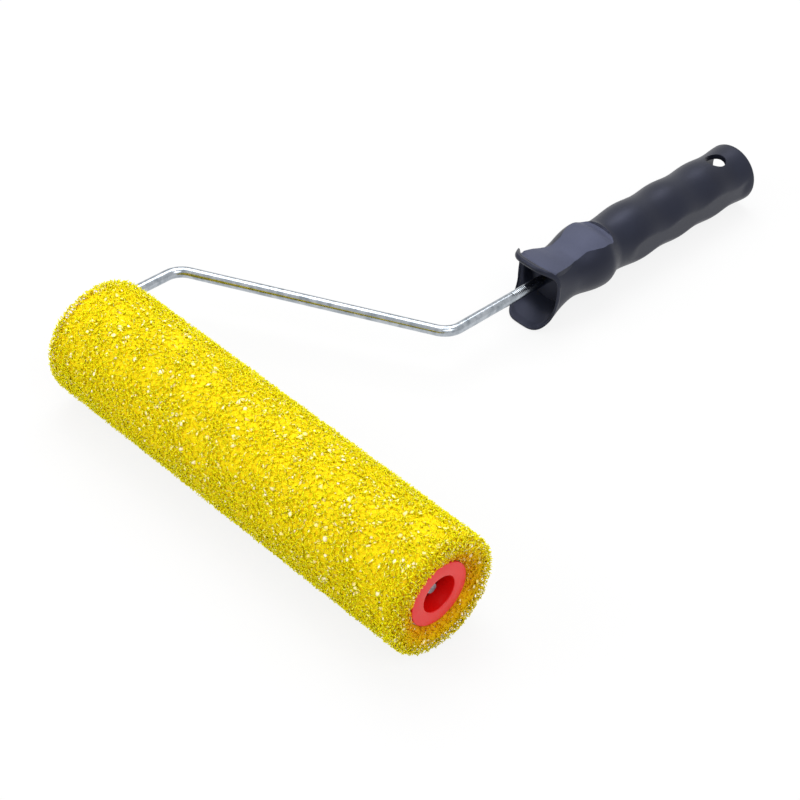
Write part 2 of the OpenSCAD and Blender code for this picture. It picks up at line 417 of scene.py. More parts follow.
@dataclass(frozen=True)
class FoamStrand(Finish):
    """Reticulated polyurethane foam: smooth translucent strands, with painted shade that leaves them
    paler at the cut skin and orange deeper in, and painted cream glints on a few of them.
    """

    # Painted shade: the orange that strands take deep in the foam.
    deep: str = "#D2A000"
    # Painted glint: the cream that strands at the top of the map's tones take.
    skin: str = "#FFF3A0"
    map_name: str = "strand_tone"

    def pattern(self, tree: bpy.types.NodeTree, shader: bpy.types.Node) -> None:
        """Colours each strand by its own random tone, across the map, whose top gives a painted cream
        glint, and by its depth, up the map, which gives painted shade.

        Args:
            tree: The material's tree.
            shader: Its Principled node.
        """
        shade_map = add_node(tree, "ShaderNodeUVMap", uv_map=self.map_name)
        parts = add_node(tree, "ShaderNodeSeparateXYZ", {"Vector": shade_map.outputs["UV"]})
        # Painted shade: strands lower on the map, deeper in the foam, turn orange.
        depth = add_node(
            tree,
            "ShaderNodeValToRGB",
            {"Fac": parts.outputs["Y"]},
            stops=[(0.1, self.deep), (0.9, self.base)],
        )
        # Painted glint: strands at the top of the map's tones turn cream.
        shade = add_node(
            tree,
            "ShaderNodeMapRange",
            {"Value": parts.outputs["X"], "From Min": 0.88, "From Max": 1.0},
        )
        tone = add_node(
            tree,
            "ShaderNodeMix",
            {0: shade.outputs["Result"], 6: depth.outputs["Color"], 7: linear(self.skin)},
            data_type="RGBA",
        )
        tree.links.new(tone.outputs[2], shader.inputs["Base Color"])


@dataclass(frozen=True)
class FoamHeart(Finish):
    """The foam too deep to see between its strands, where they close up into a mass darkened with
    painted shade.
    """

    # Painted shade: the colour of the pores, and the orange near the core.
    pore_shade: str = "#B98800"
    deep: str = "#D89400"
    cell_mm: float = 2.2
    pore_depth_mm: float = 0.6
    # Radii between which the painted shade turns from the deep orange to the ground's own tone.
    deep_mm: Point = (17.0, 29.0)

    def pattern(self, tree: bpy.types.NodeTree, shader: bpy.types.Node) -> None:
        """Draws deep cells, light strand edges around pores darkened with painted shade, and painted
        shade that turns the mass more orange towards the core.

        Args:
            tree: The material's tree.
            shader: Its Principled node.
        """
        place = add_node(tree, "ShaderNodeTexCoord").outputs["Object"]
        cells = add_node(
            tree,
            "ShaderNodeTexVoronoi",
            {"Vector": place, "Scale": 1 / (self.cell_mm * MM)},
            feature="DISTANCE_TO_EDGE",
        )
        # Painted shade: pores darken between the light strand edges.
        tone = add_node(
            tree,
            "ShaderNodeValToRGB",
            {"Fac": cells.outputs["Distance"]},
            stops=[(0.05, self.base), (0.35, self.pore_shade)],
        )
        bump = add_node(
            tree,
            "ShaderNodeBump",
            {
                "Height": cells.outputs["Distance"],
                "Strength": 0.6,
                "Distance": self.pore_depth_mm * MM,
            },
            invert=True,
        )
        # Painted shade: the mass turns orange towards the core.
        radius = add_node(
            tree, "ShaderNodeVectorMath", {0: off_axis(tree)}, operation="LENGTH"
        ).outputs["Value"]
        low, high = (r * MM for r in self.deep_mm)
        near = add_node(
            tree, "ShaderNodeMapRange", {"Value": radius, "From Min": low, "From Max": high}
        )
        both = add_node(
            tree,
            "ShaderNodeMix",
            {0: near.outputs["Result"], 6: linear(self.deep), 7: tone.outputs["Color"]},
            data_type="RGBA",
        )
        tree.links.new(both.outputs[2], shader.inputs["Base Color"])
        tree.links.new(bump.outputs["Normal"], shader.inputs["Normal"])


# Injection-moulded polypropylene: a satin blue-black whose fine grain spreads every highlight.
HANDLE_BODY = MouldedPlastic(
    "polypropylene_handle",
    Slot.HANDLE,
    "#12141C",
    0.42,
    1.49,
    glint="#D2D8FF",
    specular=0.42,
    flow="#161923",
)
# The same plastic off a duller patch of the mould: an even slate grey that hardly shines.
HANDLE_PAD = MouldedPlastic(
    "polypropylene_thumb_rest",
    Slot.HANDLE,
    "#3A3D4D",
    0.6,
    1.49,
    glint="#D0D8FF",
    specular=0.4,
    flow="#404354",
    grain_depth_mm=0.015,
)
# Red polypropylene with the mould's turned rings: its flange pales to salmon where light grazes it.
PLUG_PLASTIC = MouldedPlastic(
    "polypropylene_end_plug",
    Slot.PLUG,
    "#D60202",
    0.34,
    1.49,
    flow="#DE0804",
    grain_depth_mm=0.01,
    rings_mm=0.7,
)
# Zinc-plated drawn wire: long bright streaks of the room, a little clouded by passivation.
ZINC_WIRE = PlatedSteel(
    "zinc_plated_drawn_wire", Slot.WIRE, "#B9BFC6", 0.2, metallic=1.0, cloud="#8F979F"
)
# Steel where the wire was sheared: a dull grey disc with a torn grain.
SHEARED_END = PlatedSteel(
    "sheared_wire_end", Slot.WIRE, "#9DA2A8", 0.45, metallic=1.0, cloud="#70757B", patch_mm=1.2
)
# Zinc-plated pressed sheet: greyer and softer than the wire.
ZINC_WASHER = PlatedSteel("zinc_plated_pressed_washer", Slot.WASHER, "#C2C6CA", 0.32, metallic=1.0)
# Blackened spring steel: nearly black, partly as painted shade, so it reads as the dark gap behind the
# wire's end.
BLACK_SPRING_GAP_SHADE = PlatedSteel(
    "blackened_spring_steel_gap_shade", Slot.PUSH_NUT, "#2B2B2E", 0.4, metallic=1.0, cloud="#1C1C1F"
)
# Extruded natural polypropylene: milky white, with faint lines drawn along it.
CORE_TUBE = ExtrudedTube("extruded_polypropylene_tube", Slot.CORE, "#E6E4DE", 0.45, 1.49)
# Polyurethane foam strands: saturated yellow that light soaks through, with painted shade that turns
# them orange deeper in, and painted cream glints on a few strands picked at random.
STRAND = FoamStrand(
    "reticulated_foam_strands",
    Slot.FOAM,
    "#EEE000",
    0.5,
    1.5,
    specular=0.15,
    scatter=0.7,
    scatter_mm=0.8,
    deep="#F0A000",
)
# Cell windows that the reticulation left, coloured cream as painted glints on the yellow.
GLINT_WINDOW = FoamStrand(
    "reticulated_foam_windows_painted_glints",
    Slot.FOAM,
    "#FFF4D6",
    0.5,
    1.5,
    specular=0.2,
    deep="#FFEC90",
    skin="#FFFFFF",
)
# The foam past the depth that can be looked into: a soft yellow ground, with painted shade in its
# pores and painted shade that turns it orange near the core.
HEART = FoamHeart(
    "reticulated_foam_heart", Slot.FOAM, "#E6D200", 0.6, 1.5, specular=0.1, pore_shade="#E2BC00"
)


# ---- Meshes ----


@dataclass(frozen=True)
class Layout:
    """Lays the tool's plane on the ground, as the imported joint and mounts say."""

    to_ground: Matrix

    @classmethod
    def from_frame(cls, loaded: dict) -> "Layout":
        """Reads the roller's axis, the handle's axis and the plane's normal.


        Returns:
            The layout.
        """
        mounts = {m["name"]: m for m in loaded["record"]["mounts"]}
        along = Vector(mounts["pole_socket"]["axis"])
        up = Vector(mounts["hanging_hole"]["axis"])
        across = along.cross(up)
        turn = Matrix((across, along, up)).transposed().to_4x4()
        return cls(Matrix.Translation(loaded["joints"][0]["pos_m"]) @ turn)

    def place(self, piece: bpy.types.Object) -> None:
        """Moves a piece's own mesh from the tool's plane in metres to the ground."""
        piece.data.transform(self.to_ground)
        piece.data.update()


def deselect() -> None:
    """Leaves nothing selected or in edit mode."""
    if bpy.context.mode != "OBJECT":
        bpy.ops.object.mode_set(mode="OBJECT")
    bpy.ops.object.select_all(action="DESELECT")


def mesh_piece(name: str, points: np.ndarray, faces: list[list[int]]) -> bpy.types.Object:
    """Makes an object from points in millimetres.

    Args:
        name: The piece's name.
        points: One row a point.
        faces: Point numbers of each face.

    Returns:
        The object, at the origin.
    """
    mesh = bpy.data.meshes.new(name)
    mesh.from_pydata((np.asarray(points) * MM).tolist(), [], faces)
    piece = bpy.data.objects.new(name, mesh)
    bpy.context.scene.collection.objects.link(piece)
    return piece


def edit(piece: bpy.types.Object) -> None:
    """Selects only this piece and opens it in edit mode with all of its mesh selected.

    Args:
        piece: The piece.
    """
    deselect()
    piece.select_set(True)
    bpy.context.view_layer.objects.active = piece
    bpy.ops.object.mode_set(mode="EDIT")
    bpy.ops.mesh.select_all(action="SELECT")


def tidy_shell(piece: bpy.types.Object, smooth_deg: float) -> None:
    """Merges doubles, points the faces outwards and shades smooth up to an angle.

    Args:
        piece: The piece.
        smooth_deg: Edges sharper than this many degrees stay crisp.
    """
    edit(piece)
    bpy.ops.mesh.remove_doubles(threshold=0.001 * MM)
    bpy.ops.mesh.normals_make_consistent(inside=False)
    bpy.ops.object.mode_set(mode="OBJECT")
    bpy.ops.object.shade_smooth_by_angle(angle=math.radians(smooth_deg))
    deselect()


def finish_piece(
    piece: bpy.types.Object, finishes: list[Finish], body: Body, stands_for: tuple[str, ...] = ()
) -> None:
    """Dresses a piece, sets it riding on its body and reports it.

    Args:
        piece: The piece, in place.
        finishes: One finish for each of the mesh's material numbers.
        body: The body that it moves with.
        stands_for: CAD nodes that it replaces.
    """
    for finish in finishes:
        piece.data.materials.append(finish.material())
    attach(piece, body.value)
    if stands_for:
        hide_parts(*stands_for)
    log.info("%s: %d faces, rides on %s", piece.name, len(piece.data.polygons), body.value)


def loft(rings: Rings, closed: bool = False) -> tuple[np.ndarray, list[list[int]]]:
    """Joins rings of equal length with quads, and caps the two ends unless they join.

    Args:
        rings: Rings of points, in order.
        closed: True joins the last ring to the first.

    Returns:
        The points and the faces.
    """
    count = len(rings[0])
    points = np.concatenate(rings)
    faces = []
    for j in range(len(rings) if closed else len(rings) - 1):
        a, b = j * count, (j + 1) % len(rings) * count
        for i in range(count):
            k = (i + 1) % count
            faces.append([a + i, a + k, b + k, b + i])
    if not closed:
        faces.append(list(range(count - 1, -1, -1)))
        faces.append([(len(rings) - 1) * count + i for i in range(count)])
    return points, faces


def spun(name: str, outline: list[Point], rounding: float, sides: int) -> bpy.types.Object:
    """Spins a closed outline round the x axis into a solid ring, with its corners rounded first.

    Args:
        name: The piece's name.
        outline: Corners as (place along x, radius), in millimetres.
        rounding: Radius of the rounded corners, in millimetres.
        sides: Steps in the full turn.

    Returns:
        The spun piece.
    """
    corners = np.array([(x, 0.0, r) for x, r in outline])
    piece = mesh_piece(name, corners, [list(range(len(outline)))])
    edit(piece)
    if rounding:
        bpy.ops.mesh.bevel(offset=rounding * MM, segments=3, affect="VERTICES")
        bpy.ops.mesh.select_all(action="SELECT")
    bpy.ops.mesh.delete(type="ONLY_FACE")
    bpy.ops.mesh.select_all(action="SELECT")
    bpy.ops.mesh.spin(steps=sides, angle=math.tau, center=(0, 0, 0), axis=(1, 0, 0))
    bpy.ops.object.mode_set(mode="OBJECT")
    return piece


def add_bar(
    middle: tuple[float, float, float],
    size: tuple[float, float, float],
    rounding: float,
    segments: int,
    turn: tuple[float, float, float] = (0.0, 0.0, 0.0),
) -> None:
    """Adds a bar with rounded edges to the mesh that is open in edit mode.

    Args:
        middle: The bar's middle, in millimetres.
        size: Its three sides, in millimetres, before it is turned.
        rounding: How far its edges are rounded, in millimetres.
        segments: Faces across each rounded edge.
        turn: Angles that it is turned by, about x, y and z.
    """
    bpy.ops.mesh.select_all(action="DESELECT")
    bpy.ops.mesh.primitive_cube_add(
        size=1,
        location=[v * MM for v in middle],
        rotation=turn,
        scale=[v * MM for v in size],
    )
    bpy.ops.mesh.bevel(offset=rounding * MM, segments=segments, affect="EDGES")


# ---- The foam ----


@dataclass(frozen=True)
class CellTile:
    """Random foam cells in a cube that repeats, in units of the cube's grid step.

    Each cell is the space nearest to its own seed. Its corners are found on the hull of the points
    that stand for the planes halfway to the neighbouring seeds.
    """

    steps: int = 6
    jitter: float = 0.33
    reach: float = 2.0
    window_share: float = 0.55
    seed: int = 5

    def seeds(self) -> np.ndarray:
        """Body-centred grid points, each moved a little at random.

        Returns:
            The seeds, a row each.
        """
        rng = np.random.default_rng(self.seed)
        axis = np.arange(self.steps)
        grid = np.stack(np.meshgrid(axis, axis, axis, indexing="ij"), -1).reshape(-1, 3)
        both = np.concatenate([grid, grid + 0.5])
        return (both + rng.uniform(-self.jitter, self.jitter, both.shape)) % self.steps

    def neighbours(self, seeds: np.ndarray) -> tuple[np.ndarray, np.ndarray]:
        """Repeats the cube's seeds all round it.

        Args:
            seeds: The cube's own seeds.

        Returns:
            The seeds of all 27 cubes, and the number of the seed that each one repeats.
        """
        side = np.array([-1, 0, 1]) * self.steps
        shifts = np.stack(np.meshgrid(side, side, side, indexing="ij"), -1).reshape(-1, 3)
        copies = (seeds[None] + shifts[:, None]).reshape(-1, 3)
        return copies, np.tile(np.arange(len(seeds)), len(shifts))

    def build(self) -> tuple[np.ndarray, list[np.ndarray]]:
        """Finds the strands and windows of all cells.

        Returns:
            The two ends of each strand, and the corners of each window that is kept.
        """
        seeds = self.seeds()
        copies, owner = self.neighbours(seeds)
        rng = np.random.default_rng(self.seed + 1)
        strands, windows = [], []
        for cell, middle in enumerate(seeds):
            away = copies - middle
            far = (away**2).sum(1)
            near = np.flatnonzero((far < self.reach**2) & (far > 0))
            hull = bmesh.new()
            for point in 2 * away[near] / far[near][:, None]:
                hull.verts.new(point)
            hull.verts.index_update()
            bmesh.ops.convex_hull(hull, input=hull.verts)
            corner = {face: middle + self.cell_corner(face) for face in hull.faces}
            for edge in hull.edges:
                others = [owner[near[v.index]] for v in edge.verts]
                if len(edge.link_faces) == 2 and cell < min(others):
                    strands.append([corner[f] for f in edge.link_faces])
            for vert in hull.verts:
                other = near[vert.index]
                if vert.link_faces and cell < owner[other] and rng.random() < self.window_share:
                    windows.append(self.in_order([corner[f] for f in vert.link_faces], away[other]))
            hull.free()
        return np.array(strands), windows

    @staticmethod
    def cell_corner(face: bmesh.types.BMFace) -> np.ndarray:
        """Finds the corner of a cell that a face of the hull stands for.

        Args:
            face: The face.

        Returns:
            The corner's place from the cell's seed.
        """
        a, b, c = (np.array(v.co, float) for v in face.verts[:3])
        normal = np.cross(b - a, c - a)
        return normal / (normal @ a)

    @staticmethod
    def in_order(corners: list[np.ndarray], normal: np.ndarray) -> np.ndarray:
        """Sorts a flat window's corners round its middle.

        Args:
            corners: The corners, in any order.
            normal: The window's normal.

        Returns:
            The corners, one row each, in order.
        """
        rows = np.array(corners)
        spokes = rows - rows.mean(0)
        first = spokes[0]
        across = np.cross(normal, first)
        side = spokes @ across / np.linalg.norm(across)
        ahead = spokes @ first / np.linalg.norm(first)
        return rows[np.argsort(np.arctan2(side, ahead))]


@dataclass
class FoamSleeve:
    """Coarse open-cell foam on the core tube."""

    middle_x: float
    length: float
    radius: float
    bore_radius: float = 17.5
    plug_drop: float = 4.0
    dish_width: float = 8.0
    corner_round: float = 4.0
    cell_step: float = 3.0
    strand_radius: float = 0.25
    strand_overlap: float = 0.1
    strand_least: float = 0.12
    warp_mm: float = 0.9
    tile_turn: float = 0.46
    heart_depth: float = 1.5
    heart_end: float = 1.6
    heart_round: float = 6.5
    heart_gap: float = 0.05
    overlap: float = 0.8
    # Painted shade: how far below the skin, and how far in towards the core, strands go on turning
    # orange.
    painted_shade_depth: float = 5.0
    painted_shade_reach: float = 14.0
    fray: float = 0.9
    # Shares of fray by which strands end below the surface, if negative, or stand out of it.
    fray_range: Point = (-0.4, 1.0)
    cut_halvings: int = 12
    window_depth: float = 1.3
    window_facing: float = 0.6
    window_thick: float = 0.06
    window_kept: float = 0.8
    # What is left of a window, as the least and the largest share of its whole width.
    window_size: Point = (0.4, 0.95)
    # Each strand takes its colour from its own patch of the map: the patch's width and least height.
    map_step: Point = (0.02, 0.012)
    # How much of the map, across and up, those patches spread over.
    map_span: Point = (0.96, 0.97)
    # A window's patch is a disc: how far the discs spread, their gap to the map's edge, their radius.
    window_map_span: float = 0.9
    window_map_at: float = 0.04
    window_map_r: float = 0.03
    slices: int = 8
    tile: CellTile = field(default_factory=CellTile)
    seed: int = 11

    @classmethod
    def from_frame(cls) -> "FoamSleeve":
        """Takes the sleeve's place and size from its CAD node."""
        low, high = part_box("foam_sleeve")
        return cls(
            middle_x=(low.x + high.x) / 2 / MM,
            length=(high.x - low.x) / MM,
            radius=(high.z - low.z) / 2 / MM,
        )

    def depth(self, points: np.ndarray) -> np.ndarray:
        """How far below the sleeve's outer surface each point lies.

        Args:
            points: Rows of x from the sleeve's middle, y and z.

        Returns:
            The depths, negative outside.
        """
        return self.inside(points, 0.0, 0.0, self.corner_round)

    def end_at(self, r: np.ndarray) -> np.ndarray:
        """Where the sleeve ends, from its middle, at each radius: dished round the plug."""
        dish = np.clip((self.bore_radius + self.dish_width - r) / self.dish_width, 0, 1)
        return self.length / 2 - self.plug_drop * dish

    def inside(
        self, points: np.ndarray, side_inset: float, end_inset: float, rounding: float
    ) -> np.ndarray:
        """How far inside a smaller copy of the sleeve's outer shape each point lies.

        Args:
            points: Rows of x from the sleeve's middle, y and z.
            side_inset: How much smaller the copy's radius is.
            end_inset: How much shorter it is at each end.
            rounding: Radius of its corners.

        Returns:
            The distances, negative outside the copy.
        """
        x, r = np.abs(points[..., 0]), np.hypot(points[..., 1], points[..., 2])
        past_end = x - (self.end_at(r) - end_inset - rounding)
        past_side = r - (self.radius - side_inset - rounding)
        outside = np.hypot(np.maximum(past_end, 0), np.maximum(past_side, 0))
        return rounding - outside - np.minimum(np.maximum(past_end, past_side), 0)

    def in_heart(self, points: np.ndarray) -> np.ndarray:
        """How far inside the foam's closed heart each point lies.

        Args:
            points: Rows of x from the sleeve's middle, y and z.

        Returns:
            The distances, negative outside the heart.
        """
        return self.inside(points, self.heart_depth, self.heart_end, self.heart_round)

    def warp(self, points: np.ndarray) -> np.ndarray:
        """Stretches the cells a little here and there, so that no row of them stays straight.

        Args:
            points: Rows of places in millimetres.

        Returns:
            The moved rows.
        """
        waves = np.array([[0.21, 0.13, 0.05], [-0.07, 0.19, 0.16], [0.15, -0.09, 0.2]])
        starts = np.array([0.3, 1.9, 4.1])
        return points + self.warp_mm * np.sin(points @ waves.T + starts)

    def tile_places(self) -> tuple[np.ndarray, np.ndarray]:
        """Turns the repeating cube and lays copies of it over the whole sleeve.

        Returns:
            The axes as columns, and a row for each copy's corner.
        """
        span = self.tile.steps * self.cell_step
        turn = np.array(Matrix.Rotation(self.tile_turn, 3, Vector((0.5, 0.7, 0.4))))
        reach = np.array([self.length / 2, self.radius, self.radius])
        half = int(np.linalg.norm(reach) / span) + 1
        axis = np.arange(-half, half)
        cubes = np.stack(np.meshgrid(axis, axis, axis, indexing="ij"), -1).reshape(-1, 3)
        middles = ((cubes + 0.5) * span) @ turn.T
        slack = span * math.sqrt(3) / 2 + 2
        along, off = np.abs(middles[:, 0]), np.hypot(middles[:, 1], middles[:, 2])
        near = (along < reach[0] + slack) & (off < self.radius + slack)
        return turn, cubes[near] * span

    def strands(self, unit: np.ndarray) -> np.ndarray:
        """Fills the sleeve with strands and trims them at its surface.

        Args:
            unit: The tile's strands.

        Returns:
            Strand ends in millimetres, from the sleeve's middle.
        """
        turn, places = self.tile_places()
        kept = []
        for place in places:
            ends = self.warp((unit * self.cell_step + place) @ turn.T)
            deep = self.depth(ends)
            radii = np.hypot(ends[..., 1], ends[..., 2]).min(1)
            shown = self.in_heart(ends).min(1) < self.overlap
            wanted = (deep.max(1) > 0) & shown & (radii > self.bore_radius)
            kept.append(ends[wanted])
        ends = self.trimmed(np.concatenate(kept))
        long_enough = np.linalg.norm(ends[:, 1] - ends[:, 0], axis=1) > self.strand_least
        return ends[long_enough]

    def trimmed(self, ends: np.ndarray) -> np.ndarray:
        """Cuts strands off a little inside or outside the sleeve's surface, by halving steps.

        Args:
            ends: Strand ends.

        Returns:
            The ends after the cut.
        """
        rng = np.random.default_rng(self.seed + 3)
        fray = self.fray * rng.uniform(*self.fray_range, len(ends))
        for near, far in ((0, 1), (1, 0)):
            out = np.flatnonzero(self.depth(ends[:, near]) < -fray)
            low, high = np.zeros(len(out)), np.ones(len(out))
            start, run = ends[out, near].copy(), ends[out, far] - ends[out, near]
            for _ in range(self.cut_halvings):
                mid = (low + high) / 2
                inside = self.depth(start + run * mid[:, None]) > -fray[out]
                low, high = np.where(inside, low, mid), np.where(inside, mid, high)
            ends[out, near] = start + run * high[:, None]
        return ends

    def windows(self, unit: list[np.ndarray]) -> list[np.ndarray]:
        """Picks the windows left near the skin.

        Args:
            unit: The tile's windows.

        Returns:
            Window corners in millimetres, from the sleeve's middle.
        """
        rng = np.random.default_rng(self.seed)
        turn, places = self.tile_places()
        counts = [len(w) for w in unit]
        starts = np.cumsum([0] + counts)
        flat = np.concatenate(unit)
        kept = []
        for place in places:
            corners = self.warp((flat * self.cell_step + place) @ turn.T)
            deep = self.depth(corners)
            chosen = rng.random(len(unit)) < self.window_kept
            for k in np.flatnonzero(chosen):
                part = slice(starts[k], starts[k + 1])
                inner = np.hypot(corners[part, 1], corners[part, 2]).min()
                near_skin = deep[part].min() > 0 and deep[part].mean() < self.window_depth
                if near_skin and inner > self.bore_radius and self.faces_out(corners[part]):
                    kept.append(corners[part])
        return kept

    def faces_out(self, corners: np.ndarray) -> bool:
        """Whether a window lies more along the sleeve's surface than across it.

        Args:
            corners: The window's corners.

        Returns:
            True if it does.
        """
        middle = corners.mean(0)
        normal = np.cross(corners[1] - corners[0], corners[2] - corners[0])
        at_end = abs(middle[0]) > self.length / 2 - self.corner_round
        out = np.array([1.0, 0, 0]) if at_end else middle * [0, 1, 1]
        share = abs(normal @ out) / (np.linalg.norm(normal) * np.linalg.norm(out) + 1e-9)
        return share > self.window_facing

    def prisms(self, ends: np.ndarray) -> tuple[np.ndarray, np.ndarray, np.ndarray]:
        """Turns strands to three-sided prisms, the section that foam strands really have.

        Args:
            ends: Strand ends.

        Returns:
            Points, quads with the caps as triangles in a list of corner counts, and map places.
        """
        rng = np.random.default_rng(self.seed + 1)
        run = ends[:, 1] - ends[:, 0]
        along = run / np.linalg.norm(run, axis=1)[:, None]
        helper = np.where(np.abs(along[:, :1]) < 0.8, [[1.0, 0, 0]], [[0, 1.0, 0]])
        side = np.cross(along, helper)
        side /= np.linalg.norm(side, axis=1)[:, None]
        other = np.cross(along, side)
        spin = rng.uniform(0, math.tau, len(ends))
        corners = []
        for end, sign in ((ends[:, 0], -1), (ends[:, 1], 1)):
            for k in range(3):
                turn = spin + k * math.tau / 3
                out = np.cos(turn)[:, None] * side + np.sin(turn)[:, None] * other
                corners.append(end + sign * self.strand_overlap * along + self.strand_radius * out)
        points = np.stack(corners, 1).reshape(-1, 3)
        base = np.arange(len(ends))[:, None] * 6
        quads = np.array([0, 1, 4, 3, 1, 2, 5, 4, 2, 0, 3, 5])
        caps = np.array([0, 2, 1, 3, 4, 5])
        loops = np.concatenate([base + quads, base + caps], 1).reshape(-1)
        return points, loops, self.strand_map(ends, rng.random(len(ends))[:, None])

    def strand_map(self, ends: np.ndarray, shade: np.ndarray) -> np.ndarray:
        """Places each strand on the map: across by its random tone, and up by its depth, for the
        painted shade that turns deeper strands orange.

        Args:
            ends: Strand ends.
            shade: Each strand's random tone, from 0 to 1, whose top gives a painted cream glint.

        Returns:
            The map places of the prisms' corners, a row each.
        """
        wide, tall = self.map_step
        radii = np.hypot(ends[..., 1], ends[..., 2])
        # Painted shade: strands deeper below the skin, or nearer the core, sit lower on the map and
        # turn orange.
        below_skin = self.depth(ends) / self.painted_shade_depth
        towards_core = (self.radius - radii) / self.painted_shade_reach
        skin = 1 - np.clip(np.maximum(below_skin, towards_core), 0, 1)
        low, high = skin[:, :1] * self.map_span[1], skin[:, 1:] * self.map_span[1]
        high = np.where(np.abs(high - low) < tall, low + tall, high)
        across = np.array([0, 1, 1, 0] * 3 + [0, 1, 0] * 2)
        u = shade * self.map_span[0] + wide * across
        sides = np.where(np.array([0, 0, 1, 1] * 3), high, low)
        caps = np.where(np.array([0, 0, 1] * 2), low + tall, low)
        v = np.concatenate([sides, caps], 1)
        return np.stack([u, v], -1).reshape(-1, 2)

    def pucks(self, windows: list[np.ndarray]) -> tuple[np.ndarray, list[np.ndarray], np.ndarray]:
        """Turns windows to thin closed discs.

        Args:
            windows: Window corners.

        Returns:
            Points, faces as arrays of point numbers, and map places for their corners.
        """
        rng = np.random.default_rng(self.seed + 2)
        points, faces, places, base = [], [], [], 0
        for corners in windows:
            count = len(corners)
            middle = corners.mean(0)
            rim = middle + (corners - middle) * rng.uniform(*self.window_size)
            normal = np.cross(corners[1] - corners[0], corners[2] - corners[0])
            normal *= self.window_thick / 2 / max(np.linalg.norm(normal), 1e-9)
            points.append(np.concatenate([rim + normal, rim - normal]))
            ring = np.arange(count)
            faces.append(base + ring)
            faces.append(base + count + ring[::-1])
            for i in range(count):
                k = (i + 1) % count
                faces.append(base + np.array([i + count, k + count, k, i]))
            spot = np.array([rng.random(), rng.random()]) * self.window_map_span
            for face in faces[len(places) :]:
                turn = np.arange(len(face)) / len(face) * math.tau
                round_spot = self.window_map_r * np.stack([np.cos(turn), np.sin(turn)], 1)
                places.append(spot + self.window_map_at + round_spot)
            base += 2 * count
        return np.concatenate(points), faces, np.concatenate(places)

    def slice_piece(self, name: str, ends: np.ndarray, windows: list[np.ndarray]) -> bpy.types.Object:
        """Makes one slice of the foam.

        Args:
            name: The piece's name.
            ends: Its strands' ends.
            windows: Its windows' corners.

        Returns:
            The piece, in the tool's plane.
        """
        points, loops, places = self.prisms(ends)
        counts = np.tile([4, 4, 4, 3, 3], len(ends))
        kinds = np.zeros(len(counts), int)
        if windows:
            more, faces, more_places = self.pucks(windows)
            loops = np.concatenate([loops, np.concatenate(faces) + len(points)])
            counts = np.concatenate([counts, [len(f) for f in faces]])
            kinds = np.concatenate([kinds, np.ones(len(faces), int)])
            points = np.concatenate([points, more])
            places = np.concatenate([places, more_places])
        corners = (points + [self.middle_x, 0, 0]) * MM
        starts = np.cumsum(counts) - counts
        mesh = bpy.data.meshes.new(name)
        mesh.vertices.add(len(points))
        mesh.vertices.foreach_set("co", corners.ravel().astype(np.float32))
        mesh.loops.add(len(loops))
        mesh.loops.foreach_set("vertex_index", loops.astype(np.int32))
        mesh.polygons.add(len(counts))
        mesh.polygons.foreach_set("loop_start", starts.astype(np.int32))
        mesh.polygons.foreach_set("material_index", kinds.astype(np.int32))
        for map_name in (STRAND.map_name, "OFBake"):
            layer = mesh.uv_layers.new(name=map_name)
            layer.uv.foreach_set("vector", places.ravel().astype(np.float32))
        mesh.update(calc_edges=True)
        piece = bpy.data.objects.new(name, mesh)
        bpy.context.scene.collection.objects.link(piece)
        return piece

    def heart(self) -> bpy.types.Object:
        """The foam's closed inner mass, under its open cells.

        Returns:
            The piece, in the tool's plane.
        """
        right = []
        for turn in np.linspace(math.pi / 2, 0, 9):
            r = self.radius - self.heart_depth - self.heart_round * (1 - math.sin(turn))
            round_off = self.heart_round * (1 - math.cos(turn))
            right.append((float(self.end_at(r)) - self.heart_end - round_off, r))
        r = self.bore_radius + self.heart_gap
        right.append((float(self.end_at(r)) - self.heart_end, r))
        outline = right + [(-x, r) for x, r in reversed(right)]
        piece = spun("foam_heart", outline, rounding=0.0, sides=128)
        piece.data.transform(Matrix.Translation((self.middle_x * MM, 0, 0)))
        tidy_shell(piece, smooth_deg=50)
        return piece

    def build(self, layout: Layout) -> None:
        """Builds the foam's pieces and dresses them.

        Args:
            layout: How the tool's plane lies on the ground.
        """
        strands, windows = self.tile.build()
        ends = self.strands(strands)
        panes = self.windows(windows)
        log.info("foam: %d strands and %d windows", len(ends), len(panes))
        heart = self.heart()
        layout.place(heart)
        finish_piece(heart, [HEART], Body.ROLLER, ("foam_sleeve",))
        edges = np.linspace(-self.length / 2, self.length / 2, self.slices + 1)
        slice_of, pane_slice = (
            np.clip(np.digitize(middles, edges) - 1, 0, self.slices - 1)
            for middles in (ends[:, :, 0].mean(1), [p[:, 0].mean() for p in panes])
        )
        for number in range(self.slices):
            mine = [p for p, s in zip(panes, pane_slice) if s == number]
            piece = self.slice_piece(f"foam_cells_{number + 1}", ends[slice_of == number], mine)
            layout.place(piece)
            finish_piece(piece, [STRAND, GLINT_WINDOW], Body.ROLLER, ("foam_sleeve",))


# ---- End plugs ----


